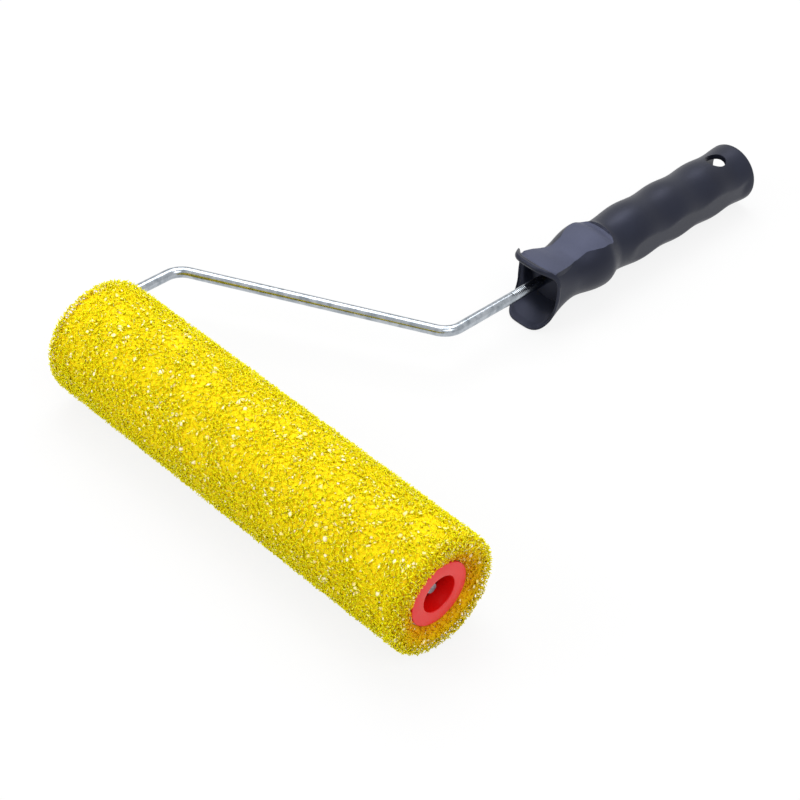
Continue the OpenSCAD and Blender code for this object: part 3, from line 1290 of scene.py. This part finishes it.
@dataclass
class EndPlug:
    """A red plug with a recessed floor that is the roller's bearing."""

    end: End
    face_x: float
    flange_r: float = 17.2
    flange_t: float = 1.6
    skirt_r: float = 15.5
    recess_r: float = 9.75
    recess_depth: float = 11.5
    wall: float = 1.8
    floor_t: float = 2.5
    bore_r: float = 3.05
    boss_r: float = 5.55
    boss_len: float = 5.0
    ribs: int = 6
    rib_t: float = 1.5
    rounding: float = 0.45
    rib_rounding: float = 0.2

    @classmethod
    def from_frame(cls, end: End) -> "EndPlug":
        """Takes the plug's place from its CAD node."""
        low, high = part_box(f"{end.name.lower()}_end_plug")
        return cls(end=end, face_x=(high.x if end is End.OUTER else low.x) / MM)

    def build(self, layout: Layout) -> None:
        """Spins the plug's section, adds its ribs and puts it in its end.

        Args:
            layout: How the tool's plane lies on the ground.
        """
        back = -(self.recess_depth + self.floor_t)
        outline = [
            (0, self.recess_r),
            (0, self.flange_r),
            (-self.flange_t, self.flange_r),
            (-self.flange_t, self.skirt_r),
            (back, self.skirt_r),
            (back, self.skirt_r - self.wall),
            (-self.flange_t, self.skirt_r - self.wall),
            (-self.flange_t, self.recess_r + self.wall),
            (back, self.recess_r + self.wall),
            (back, self.boss_r),
            (back - self.boss_len, self.boss_r),
            (back - self.boss_len, self.bore_r),
            (-self.recess_depth, self.bore_r),
            (-self.recess_depth, self.recess_r),
        ]
        name = f"{self.end.name.lower()}_plug"
        piece = spun(name, outline, self.rounding, sides=128)
        edit(piece)
        middle_r = (self.recess_r + self.skirt_r) / 2
        rib = (-back - self.flange_t, self.rib_t, self.skirt_r - self.recess_r - self.wall)
        for k in range(self.ribs):
            angle = k * math.tau / self.ribs
            off = (-middle_r * math.sin(angle), middle_r * math.cos(angle))
            middle = ((back - self.flange_t) / 2, *off)
            add_bar(middle, rib, self.rib_rounding, segments=1, turn=(angle, 0, 0))
        bpy.ops.object.mode_set(mode="OBJECT")
        if self.end is End.INNER:
            piece.data.transform(Matrix.Rotation(math.pi, 4, "Y"))
        piece.data.transform(Matrix.Translation((self.face_x * MM, 0, 0)))
        tidy_shell(piece, smooth_deg=40)
        layout.place(piece)
        finish_piece(piece, [PLUG_PLASTIC], Body.ROLLER, (f"{self.end.name.lower()}_end_plug",))


# ---- Wire ----


@dataclass
class WireFrame:
    """The bent wire, from its free end in the roller to its end in the handle."""

    tip_x: float
    leg_x: float
    stem_end: float = 295.0
    radius: float = 3.0
    leg_len: float = 65.4
    stem_corner: float = 137.4
    bend_r: float = 12.0
    bend_step_deg: float = 5.0
    tip_round: float = 0.55
    sides: int = 40
    # The pressed stop ears and wings, measured along x, y and z.
    ear: tuple[float, float, float] = (3.0, 10.0, 1.8)
    wing: tuple[float, float, float] = (9.0, 10.0, 1.8)
    wings_at: tuple[float, ...] = (223.75, 280.0)
    press_start: float = 183.5
    press_pitch: float = 1.1
    press_count: int = 9
    press_depth: float = 0.14
    press_from: float = 0.35
    press_rise: float = 3.0

    @classmethod
    def from_frame(cls) -> "WireFrame":
        """Takes the wire's two ends along x from its CAD node."""
        low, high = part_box("wire_frame")
        return cls(tip_x=high.x / MM, leg_x=low.x / MM + cls.radius)

    def path(self) -> list[Vector]:
        """The path's corners, before they are rounded."""
        return [
            Vector((self.tip_x, 0, 0)),
            Vector((self.leg_x, 0, 0)),
            Vector((self.leg_x, self.leg_len, 0)),
            Vector((0, self.stem_corner, 0)),
            Vector((0, self.stem_end, 0)),
        ]

    def sweep(self) -> bpy.types.Object:
        """Draws the wire by extruding a circle along the straights and spinning it round the bends.

        Returns:
            The wire, open at its free end.
        """
        path = self.path()
        bpy.ops.mesh.primitive_circle_add(
            vertices=self.sides,
            radius=self.radius * MM,
            location=path[0] * MM,
            rotation=(0, math.pi / 2, 0),
        )
        piece = bpy.context.object
        piece.name = piece.data.name = "bent_wire"
        bpy.ops.object.transform_apply(location=True, rotation=True, scale=True)
        edit(piece)
        at = path[0]
        for k in range(1, len(path) - 1):
            go = (path[k] - path[k - 1]).normalized()
            leave = (path[k + 1] - path[k]).normalized()
            angle = go.angle(leave)
            trim = self.bend_r * math.tan(angle / 2)
            stop = path[k] - go * trim
            self.extrude(stop - at)
            left = go.cross(leave).z > 0
            inward = Vector((-go.y, go.x, 0)) * (1 if left else -1)
            bpy.ops.mesh.spin(
                steps=max(6, int(math.degrees(angle) / self.bend_step_deg)),
                angle=-angle if left else angle,
                center=(stop + inward * self.bend_r) * MM,
                axis=(0, 0, 1),
            )
            at = path[k] + leave * trim
        self.extrude(Vector((0, self.press_start, 0)) - at)
        for _ in range(self.press_count * 4):
            self.extrude(Vector((0, self.press_pitch / 4, 0)))
        at = Vector((0, self.press_start + self.press_count * self.press_pitch, 0))
        self.extrude(path[-1] - at)
        bpy.ops.mesh.edge_face_add()
        bpy.ops.mesh.select_all(action="DESELECT")
        bpy.ops.object.mode_set(mode="OBJECT")
        return piece

    @staticmethod
    def extrude(move: Vector) -> None:
        """Extrudes the selected ring of edges by a move in millimetres."""
        bpy.ops.mesh.extrude_region_move(TRANSFORM_OT_translate={"value": move * MM})

    def close_tip(self, piece: bpy.types.Object) -> None:
        """Fills the free end and rounds its rim.

        Args:
            piece: The wire.
        """
        limit = (self.tip_x - 0.01) * MM
        for edge in piece.data.edges:
            edge.select = all(piece.data.vertices[v].co.x > limit for v in edge.vertices)
        bpy.context.view_layer.objects.active = piece
        bpy.ops.object.mode_set(mode="EDIT")
        bpy.ops.mesh.select_mode(type="EDGE")
        bpy.ops.mesh.edge_face_add()
        bpy.ops.mesh.bevel(offset=self.tip_round * MM, segments=3, affect="EDGES")
        bpy.ops.object.mode_set(mode="OBJECT")
        for face in piece.data.polygons:
            if face.normal.x > 0.95 and face.center.x > limit:
                face.material_index = 1

    def press_marks(self, piece: bpy.types.Object) -> None:
        """Presses short cross grooves into the top and bottom of the stem, ahead of the handle.

        Args:
            piece: The wire.
        """
        length = self.press_count * self.press_pitch
        for vert in piece.data.vertices:
            along = vert.co.y / MM - self.press_start
            if -0.01 < along < length + 0.01 and abs(vert.co.x) < 2 * self.radius * MM:
                groove = max(0.0, -math.cos(along / self.press_pitch * math.tau))
                rise = abs(vert.co.z) / (self.radius * MM) - self.press_from
                if rise > 0:
                    depth = groove * self.press_depth / self.radius
                    vert.co.z *= 1 - depth * min(1, rise * self.press_rise)

    def build(self, layout: Layout) -> None:
        """Builds the wire with its pressed stop ears and wings.

        Args:
            layout: How the tool's plane lies on the ground.
        """
        deselect()
        piece = self.sweep()
        self.close_tip(piece)
        self.press_marks(piece)
        edit(piece)
        washer_low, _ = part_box("inner_thrust_washer")
        ear_x = washer_low.x / MM - self.ear[0] / 2
        add_bar((ear_x, 0, 0), self.ear, rounding=0.5, segments=3)
        for at in self.wings_at:
            add_bar((0, at, 0), self.wing, rounding=0.5, segments=3)
        bpy.ops.object.mode_set(mode="OBJECT")
        tidy_shell(piece, smooth_deg=35)
        layout.place(piece)
        finish_piece(piece, [ZINC_WIRE, SHEARED_END], Body.FRAME, ("wire_frame",))


# ---- Handle ----


@dataclass(frozen=True)
class SmoothCurve:
    """A smooth curve through a few points, which never overshoots them."""

    points: tuple[Point, ...]

    def __call__(self, at: float) -> float:
        """The curve's height at a place, held level past its ends.

        Args:
            at: The place.

        Returns:
            The height.
        """
        x = np.array([p[0] for p in self.points])
        y = np.array([p[1] for p in self.points])
        if at <= x[0]:
            return float(y[0])
        if at >= x[-1]:
            return float(y[-1])
        step = np.diff(x)
        rise = np.diff(y) / step
        before, after = rise[:-1], rise[1:]
        shared = 2 * after * before / (after + before + 1e-12)
        level = np.where(after * before > 0, shared, 0)
        slope = np.concatenate([rise[:1], level, rise[-1:]])
        k = int(np.searchsorted(x, at) - 1)
        t = (at - x[k]) / step[k]
        return float(
            y[k] * (1 + 2 * t) * (1 - t) ** 2
            + slope[k] * step[k] * t * (1 - t) ** 2
            + y[k + 1] * t * t * (3 - 2 * t)
            + slope[k + 1] * step[k] * t * t * (t - 1)
        )


def ease(t: float) -> float:
    """Goes smoothly from 0 to 1."""
    return (1 - math.cos(math.pi * min(max(t, 0.0), 1.0))) / 2


def climb(at: float, low: float, high: float) -> float:
    """Goes smoothly from 0 at low to 1 at high."""
    return ease((at - low) / (high - low))


def mix(a: float, b: float, t: float) -> float:
    """The value that lies a share t of the way from a to b."""
    return a + (b - a) * t


@dataclass(frozen=True)
class Section:
    """A section of the handle: half width, height above and depth below the axis, squareness."""

    side: float
    top: float
    bottom: float
    power: float

    @classmethod
    def circle(cls, r: float) -> "Section":
        """A round section."""
        return cls(r, r, r, 2.0)

    def towards(self, other: "Section", t: float) -> "Section":
        """The section that lies a share t of the way to another."""
        return Section(
            mix(self.side, other.side, t),
            mix(self.top, other.top, t),
            mix(self.bottom, other.bottom, t),
            mix(self.power, other.power, t),
        )


@dataclass
class Handle:
    """The hollow moulded handle with its guard, thumb rest, waved grip and open tail.

    Names that end in _s are distances from the lip, and names that end in _r are radii.
    """

    start: float = 196.0
    length: float = 170.5
    neck_s: float = 24.0
    collar_s: float = 46.5
    waist_s: float = 59.0
    swell_s: float = 80.0
    neck: Section = Section(15.0, 12.5, 15.2, 2.3)
    lip: Section = Section(16.2, 15.8, 23.0, 3.8)
    collar_r: float = 18.7
    waist_r: float = 15.2
    grip_r: float = 16.0
    swell_h: float = 0.9
    swell_count: int = 4
    lip_reach: float = 2.6
    lip_notch: float = 11.5
    notch_power: float = 1.9
    low_power: float = 3.4
    lip_skew: float = 2.3
    lip_aside: float = 0.8
    lip_wall: float = 1.4
    lip_s: float = 2.0
    flare_power: float = 1.7
    funnel_wall: float = 2.0
    wall_rise: float = 9.0
    bulkhead_s: float = 17.0
    bead_s: float = 2.4
    bead_fade: float = 2.2
    bead_out: float = 2.1
    bead_low: float = 0.25
    # How far the skin faces up, or down at the low bead, from 0 to 1, where the bead begins, and how
    # much further where it is full.
    bead_top_at: Point = (0.8, 0.2)
    bead_low_at: Point = (0.2, 0.7)
    # The ends of stretches of the outside, each with its number of steps between rings.
    ring_steps: tuple[tuple[float, int], ...] = ((7.6, 11), (9.2, 6), (62.0, 71))
    tail_round: float = 1.4
    # Depths into the socket, and how much wider than the socket its mouth is there.
    mouth: tuple[Point, ...] = ((0.0, 0.7), (0.25, 0.2), (0.9, 0.0))
    socket_r: float = 13.0
    socket_depth: float = 60.0
    inner_r: float = 12.5
    hollow_s: float = 38.5
    crown_r: float = 35.0
    pad_front: float = 3.6
    pad_rise: float = 3.5
    pad_rear: float = 54.9
    pad_width: SmoothCurve = SmoothCurve(
        (
            (0, 13.0), (8, 12.4), (14, 11.6), (20, 10.3), (26, 9.0), (33, 9.2), (39, 11.4),
            (45, 13.0), (51, 12.6), (53, 11.8), (54.2, 10.4), (54.9, 8.5), (60, 8.0),
        )
    )
    pad_edge: SmoothCurve = SmoothCurve(
        (
            (3, 13.4), (8, 13.0), (14, 12.4), (20, 11.3), (26, 10.8), (33, 11.3), (39, 12.6),
            (45, 13.2), (60, 12.0),
        )
    )
    pad_most: float = 0.88
    # The step beside the thumb rest: its width without the rest, and what the full rest adds.
    pad_foot: Point = (0.25, 0.35)
    # Where the point within that step lies, across and down, as shares of the step.
    pad_shoulder: Point = (0.4, 0.45)
    # How far ahead of the collar the rest's edges come level with the body.
    pad_level: float = 6.0
    pad_points: int = 25
    body_points: int = 79
    flat_dir: float = -5.0
    flat_r: float = 15.3
    flat_soft: float = 0.05
    # How far past the waist the flats begin, how far before the tail they fade, and over what length.
    flat_from: float = 4.0
    flat_rise: float = 10.0
    flat_until: float = 9.0
    flat_fall: float = 7.0
    crease_deg: float = 24.0
    hole_r: float = 6.0
    hole_inset: float = 18.3
    hole_flare_at: float = 15.4
    # The cutter's steps out of the wall, and how much wider it gets in each.
    hole_flares: tuple[Point, ...] = ((0.5, 1.02), (0.5, 1.05), (0.6, 1.1), (8.0, 1.09))
    hub_r: float = 7.0
    hub_end: float = 103.0
    hub_overlap: float = 1.0
    web_t: float = 2.0

    def section(self, s: float) -> Section:
        """The handle's outer section at a distance from its lip.

        Args:
            s: Distance from the lip.

        Returns:
            The section.
        """
        collar = Section.circle(self.collar_r)
        waist = Section.circle(self.waist_r)
        if s <= self.neck_s:
            t = (1 - max(s, 0.0) / self.neck_s) ** self.flare_power
            return self.neck.towards(self.lip, t)
        if s <= self.collar_s:
            return self.neck.towards(collar, climb(s, self.neck_s, self.collar_s))
        if s <= self.waist_s:
            return collar.towards(waist, climb(s, self.collar_s, self.waist_s))
        if s <= self.swell_s:
            swollen = Section.circle(self.grip_r + self.swell_h)
            return waist.towards(swollen, climb(s, self.waist_s, self.swell_s))
        pitch = (self.length - self.swell_s) / (self.swell_count - 1)
        wave = (1 + math.cos(math.tau * (self.length - s) / pitch)) / 2
        return Section.circle(self.grip_r + self.swell_h * wave)

    def flat_share(self, s: float) -> float:
        """How much of the grip's soft flats shows.

        Args:
            s: Distance from the lip.

        Returns:
            A share from 0 to 1.
        """
        begun = ease((s - self.waist_s - self.flat_from) / self.flat_rise)
        ended = ease((s - self.length + self.flat_until) / self.flat_fall)
        return begun * (1 - ended)

    def flattened(self, x: float, z: float, share: float) -> Point:
        """Presses a soft flat into each flank of the grip.

        Args:
            x: Place across, on the round grip.
            z: Height.
            share: How much of the flat shows here.

        Returns:
            The moved place and height.
        """
        r = math.hypot(x, z)
        turn = math.atan2(z, abs(x)) - math.radians(self.flat_dir)
        if share <= 0 or math.cos(turn) < 0.3:
            return x, z
        flat = self.flat_r / math.cos(turn)
        pressed = (r + flat - math.hypot(r - flat, self.flat_soft)) / 2
        k = mix(1.0, min(pressed / r, 1.0), share)
        return x * k, z * k

    def ring(self, s: float, shrink: float = 0.0, pad: float | None = None) -> np.ndarray:
        """One ring of the handle's skin, with fixed numbers of points on the pad and on the body.

        Args:
            s: Distance from the lip.
            shrink: How far inside the outer section the ring lies.
            pad: How much of the thumb rest shows, or None to work it out.

        Returns:
            The ring's points in millimetres, in the tool's plane.
        """
        size = self.section(s)
        side, top, bottom = size.side - shrink, size.top - shrink, size.bottom - shrink
        power = size.power
        low_power = min(power, self.low_power)
        if pad is None:
            pad = ease((s - self.pad_front) / self.pad_rise) * (s < self.pad_rear)
        width = min(self.pad_width(s), side * self.pad_most)

        def body_z(x: float) -> float:
            """Height of the outline without its thumb rest."""
            return top * max(1 - (abs(x) / side) ** power, 0.0) ** (1 / power)

        foot = width + self.pad_foot[0] + self.pad_foot[1] * pad
        raised = s < self.collar_s - self.pad_level
        edge_z = max(self.pad_edge(s), body_z(width)) if raised else body_z(width)
        edge_z = mix(body_z(width), edge_z, pad)
        points = []
        for x in np.linspace(-width, width, self.pad_points):
            crown = edge_z + (width * width - x * x) / (2 * self.crown_r)
            points.append((x, mix(body_z(x), crown, pad)))
        across, down = self.pad_shoulder
        step = (mix(width, foot, across), mix(edge_z, body_z(foot), down))
        points.append(step)
        start = math.acos(min((foot / side) ** (power / 2), 1.0))
        share = 0.0 if shrink else self.flat_share(s)
        for t in np.linspace(start, -math.pi - start, self.body_points):
            c, d = math.cos(t), math.sin(t)
            x = side * math.copysign(abs(c) ** (2 / power), c)
            z = top * d ** (2 / power) if d >= 0 else -bottom * (-d) ** (2 / low_power)
            points.append(self.flattened(x, z, share))
        points.append((-step[0], step[1]))
        rows = np.array(points)
        lean = np.clip(np.abs(rows[:, 0]) / side, 0, 1) ** (power * self.notch_power / 2)
        fade = min(max(1 - s / self.neck_s, 0), 1) ** 2
        notch = self.lip_notch - self.lip_skew * rows[:, 0] / side
        y = self.start + s + (notch * lean - self.lip_reach) * fade
        return np.column_stack([rows[:, 0] - self.lip_aside * fade, y, rows[:, 1]])

    def round_ring(self, s: float, r: float) -> np.ndarray:
        """A round ring with as many points as the others.

        Args:
            s: Distance from the lip.
            r: The ring's radius.

        Returns:
            The ring's points.
        """
        ring = self.ring(self.length, pad=0.0)
        k = r / np.hypot(ring[:, 0], ring[:, 2])
        return np.column_stack([ring[:, 0] * k, np.full(len(ring), self.start + s), ring[:, 2] * k])

    def outer_stations(self) -> list[float]:
        """Where the outer rings lie: closer together at the guard's details.

        Returns:
            Distances from the lip.
        """
        places, at = [], self.lip_s
        for stop, steps in (*self.ring_steps, (self.length - self.tail_round, 91)):
            places.extend(np.linspace(at, stop, steps, endpoint=False))
            at = stop
        return places + [at]

    def funnel(self) -> Rings:
        """The guard's hollow.

        Returns:
            Its rings, from the bulkhead out to the lip.
        """
        rings = []
        for s in np.linspace(self.bulkhead_s, self.lip_s, 17):
            wall = mix(self.lip_wall, self.funnel_wall, ease(s / self.wall_rise))
            rings.append(self.ring(s, wall, 0.0))
        return rings

    def tail(self) -> Rings:
        """The tail's rounded rim, its socket and the space beyond the socket.

        Returns:
            Their rings, from the rim inwards.
        """
        rings = []
        tail_r = self.section(self.length).side
        for t in np.linspace(0.2, math.pi / 2, 6):
            short, inset = self.tail_round * (1 - math.sin(t)), self.tail_round * (1 - math.cos(t))
            rings.append(self.round_ring(self.length - short, tail_r - inset))
        inside = [(depth, self.socket_r + flare) for depth, flare in self.mouth]
        inside += [(k * self.socket_depth / 12, self.socket_r) for k in range(1, 13)]
        beyond = np.linspace(self.socket_depth, self.length - self.hollow_s, 16)
        inside += [(depth, self.inner_r) for depth in beyond]
        return rings + [self.round_ring(self.length - depth, r) for depth, r in inside]

    def rings(self) -> tuple[Rings, int, int]:
        """All rings, from the bulkhead out over the lip, along the outside and into the tail.

        Returns:
            The rings, and the first and last outer ring that the thumb rest covers.
        """
        inner = self.funnel()
        edge = self.ring(0.0, 0.0, 0.0)
        inward = (self.ring(0.0, 1.0, 0.0) - edge) * [1, 0, 1]
        inward /= np.linalg.norm(inward, axis=1)[:, None]
        (top_from, top_rise), (low_from, low_rise) = self.bead_top_at, self.bead_low_at
        rolled = np.array(
            [
                ease((-z - top_from) / top_rise) + self.bead_low * ease((z - low_from) / low_rise)
                for z in inward[:, 2]
            ]
        )
        half = (self.lip_wall + self.bead_out * rolled) / 2
        lip = []
        for turn in np.linspace(0, math.pi, 13)[1:-1]:
            ring = edge + inward * (self.lip_wall - half * (1 - math.cos(turn)))[:, None]
            ring[:, 1] += half * (1 - math.sin(turn))
            lip.append(ring)
        stations = self.outer_stations()
        outer = []
        for s in stations:
            bead = self.bead_out * (1 - ease((s - self.bead_s) / self.bead_fade))
            ring = self.ring(s, 0.0, None if s > self.pad_front else 0.0)
            outer.append(ring - inward * (bead * rolled)[:, None])
        before = len(inner) + len(lip)
        first_s = self.pad_front + 0.5
        covered = [before + k for k, s in enumerate(stations) if first_s < s < self.pad_rear]
        return inner + lip + outer + self.tail(), covered[0], covered[-1]

    def skin(self) -> bpy.types.Object:
        """Lofts the handle's closed skin and gives the thumb rest its own finish.

        Returns:
            The skin, in the tool's plane.
        """
        rings, first, last = self.rings()
        points, faces = loft(rings)
        piece = mesh_piece("moulded_handle", points, faces)
        count = len(rings[0])
        for j in range(first, last):
            for i in range(self.pad_points - 1):
                piece.data.polygons[j * count + i].material_index = 1
        tidy_shell(piece, self.crease_deg)
        return piece

    def hole_cutter(self) -> bpy.types.Object:
        """A cylinder with flared ends, which cuts the hanging hole with softly broken edges.

        Returns:
            The cutter, in the tool's plane.
        """
        bpy.ops.mesh.primitive_cylinder_add(
            vertices=64,
            radius=self.hole_r * MM,
            depth=2 * self.hole_flare_at * MM,
            location=(0, (self.start + self.length - self.hole_inset) * MM, 0),
        )
        cutter = bpy.context.object
        bpy.ops.object.transform_apply(location=True, rotation=True, scale=True)
        for sign in (1, -1):
            edit(cutter)
            bpy.ops.mesh.select_all(action="DESELECT")
            bpy.ops.object.mode_set(mode="OBJECT")
            limit = max(v.co.z * sign for v in cutter.data.vertices) - 0.01 * MM
            for face in cutter.data.polygons:
                face.select = all(cutter.data.vertices[v].co.z * sign > limit for v in face.vertices)
            bpy.ops.object.mode_set(mode="EDIT")
            for rise, grow in self.hole_flares:
                move = (0, 0, sign * rise * MM)
                bpy.ops.mesh.extrude_region_move(TRANSFORM_OT_translate={"value": move})
                bpy.ops.transform.resize(value=(grow, grow, 1))
            bpy.ops.object.mode_set(mode="OBJECT")
        return cutter

    def cut_hole(self, piece: bpy.types.Object) -> None:
        """Cuts the hanging hole through both walls of the tail.

        Args:
            piece: The handle's skin.
        """
        cutter = self.hole_cutter()
        cut = piece.modifiers.new("hanging_hole", "BOOLEAN")
        cut.operation, cut.solver, cut.object = "DIFFERENCE", "EXACT", cutter
        deselect()
        piece.select_set(True)
        bpy.context.view_layer.objects.active = piece
        bpy.ops.object.modifier_apply(modifier=cut.name)
        bpy.data.objects.remove(cutter)
        edit(piece)
        bpy.ops.mesh.remove_doubles(threshold=0.001 * MM)
        bpy.ops.object.mode_set(mode="OBJECT")
        bpy.ops.object.shade_smooth_by_angle(angle=math.radians(self.crease_deg))

    def hub_and_webs(self) -> bpy.types.Object:
        """The tube around the wire's stem and the crossed webs that carry it, deep in the grip.

        Returns:
            The piece, in the tool's plane.
        """
        pinhole = 0.02
        front = self.start + self.hollow_s - self.hub_overlap
        back = self.start + self.hub_end
        outline = [(front, pinhole), (front, self.hub_r), (back, self.hub_r), (back, pinhole)]
        piece = spun("handle_hub_and_webs", outline, rounding=0.4, sides=48)
        piece.data.transform(Matrix.Rotation(math.pi / 2, 4, "Z"))
        edit(piece)
        web_len = self.length - self.socket_depth - self.hollow_s
        for angle in (math.pi / 4, -math.pi / 4):
            middle = (0, self.start + self.hollow_s + web_len / 2, 0)
            web = (2 * self.inner_r, web_len, self.web_t)
            add_bar(middle, web, rounding=0.3, segments=2, turn=(0, angle, 0))
        bpy.ops.object.mode_set(mode="OBJECT")
        tidy_shell(piece, smooth_deg=40)
        return piece

    def build(self, layout: Layout) -> None:
        """Builds the handle and what is inside it.

        Args:
            layout: How the tool's plane lies on the ground.
        """
        skin = self.skin()
        self.cut_hole(skin)
        layout.place(skin)
        finish_piece(skin, [HANDLE_BODY, HANDLE_PAD], Body.FRAME, ("handle",))
        inside = self.hub_and_webs()
        layout.place(inside)
        finish_piece(inside, [HANDLE_BODY], Body.FRAME, ("handle",))


# ---- CAD pieces that stay as they are ----


@dataclass(frozen=True)
class Fittings:
    """The core tube, washers and push nut, whose CAD shapes stay and get their finishes."""

    finishes: tuple[tuple[str, Finish], ...] = (
        ("core_tube", CORE_TUBE),
        ("outer_thrust_washer", ZINC_WASHER),
        ("inner_thrust_washer", ZINC_WASHER),
        ("outer_push_nut", BLACK_SPRING_GAP_SHADE),
    )

    def dress(self, nodes: dict[str, bpy.types.Object]) -> None:
        """Puts each finish on its CAD node.

        Args:
            nodes: The CAD nodes by name.
        """
        for name, finish in self.finishes:
            node = nodes[name]
            if not node.material_slots:
                node.data.materials.append(None)
            for slot in node.material_slots:
                slot.material = finish.material()
            log.info("%s: CAD shape, %s", name, finish.name)


# ---- Studio ----


@dataclass(frozen=True)
class Studio:
    """A plain pale floor, soft light and the camera."""

    eye: tuple[float, float, float] = (0.59225, -0.6729, 0.7586)
    look: tuple[float, float, float] = (-0.5206, 0.5343, -0.6660)
    across: tuple[float, float, float] = (0.6976, 0.7158, 0.0289)
    lens: float = 100.0
    floor_size: float = 12.0
    floor_lift: float = 0.85
    room_light: float = 0.8

    def camera(self) -> None:
        """Sets the camera up."""
        data = bpy.data.cameras.new("camera")
        data.lens = self.lens
        data.clip_start, data.clip_end = 0.05, 50
        camera = bpy.data.objects.new("camera", data)
        bpy.context.scene.collection.objects.link(camera)
        back = -Vector(self.look).normalized()
        right = Vector(self.across)
        right = (right - back * right.dot(back)).normalized()
        up = back.cross(right)
        turn = Matrix((right, up, back)).transposed().to_4x4()
        camera.matrix_world = Matrix.Translation(self.eye) @ turn
        bpy.context.scene.camera = camera

    def lamp(self, name: str, place: tuple[float, float, float], size: float, power: float) -> None:
        """Hangs a square soft lamp that points at the object.

        Args:
            name: The lamp's name.
            place: Where it hangs, in metres.
            size: Its side, in metres.
            power: Its power, in watts.
        """
        data = bpy.data.lights.new(name, "AREA")
        data.size, data.energy = size, power
        lamp = bpy.data.objects.new(name, data)
        bpy.context.scene.collection.objects.link(lamp)
        lamp.location = place
        lamp.rotation_euler = (-Vector(place)).to_track_quat("-Z", "Y").to_euler()

    @staticmethod
    def seen(tree: bpy.types.NodeTree, other: str) -> bpy.types.NodeSocket:
        """Tells the rays that look at a surface from those that only light it.

        Args:
            tree: The material's or the room's tree.
            other: The light path's name for the kind of ray that counts beside the camera's.

        Returns:
            1 for such a ray and 0 for the rest.
        """
        path = add_node(tree, "ShaderNodeLightPath")
        rays = {0: path.outputs["Is Camera Ray"], 1: path.outputs[other]}
        return add_node(tree, "ShaderNodeMath", rays, operation="MAXIMUM").outputs[0]

    def floor(self) -> None:
        """Lays the floor: pale, and lifted towards white where it is looked at."""
        deselect()
        bpy.ops.mesh.primitive_plane_add(size=self.floor_size)
        floor = bpy.context.object
        floor.name = "floor"
        made = bpy.data.materials.new("matt_white_floor")
        made.use_nodes = True
        tree = made.node_tree
        shader = tree.nodes["Principled BSDF"]
        shader.inputs["Base Color"].default_value = linear("#D2D2D2")
        shader.inputs["Roughness"].default_value = 0.9
        shader.inputs["Specular IOR Level"].default_value = 0.1
        amounts = {0: self.seen(tree, "Is Glossy Ray"), 1: self.floor_lift}
        lift = add_node(tree, "ShaderNodeMath", amounts, operation="MULTIPLY").outputs[0]
        white = add_node(tree, "ShaderNodeEmission", {"Strength": 1.0}).outputs[0]
        both = add_node(tree, "ShaderNodeMixShader", {0: lift, 1: shader.outputs[0], 2: white})
        tree.links.new(both.outputs[0], tree.nodes["Material Output"].inputs["Surface"])
        floor.data.materials.append(made)

    def room(self) -> None:
        """Lights the room softly. Where it is looked at past the floor it is white."""
        world = bpy.data.worlds.new("room")
        bpy.context.scene.world = world
        world.use_nodes = True
        tree = world.node_tree
        seen = self.seen(tree, "Is Transmission Ray")
        back = tree.nodes["Background"]
        back.inputs["Color"].default_value = (1, 1, 1, 1)
        strength = add_node(
            tree, "ShaderNodeMapRange", {"Value": seen, "To Min": self.room_light, "To Max": 1.0}
        )
        tree.links.new(strength.outputs["Result"], back.inputs["Strength"])

    def build(self) -> None:
        """Builds the whole studio."""
        self.camera()
        self.floor()
        self.room()
        self.lamp("key", (-0.5, 0.4, 1.5), size=1.2, power=19)
        self.lamp("front", (1.1, -0.3, 1.4), size=0.9, power=8)
        self.lamp("side", (-0.7, -1.2, 0.9), size=0.8, power=8)
        view = bpy.context.scene.view_settings
        view.view_transform = "Standard"


def main() -> None:
    """Builds the roller's looks and the studio."""
    logging.basicConfig(level=logging.INFO, format="%(message)s")
    layout = Layout.from_frame(frame)
    Studio().build()
    Handle().build(layout)
    WireFrame.from_frame().build(layout)
    for end in End:
        EndPlug.from_frame(end).build(layout)
    Fittings().dress(frame["nodes"])
    FoamSleeve.from_frame().build(layout)


if __name__ == "__main__":
    main()
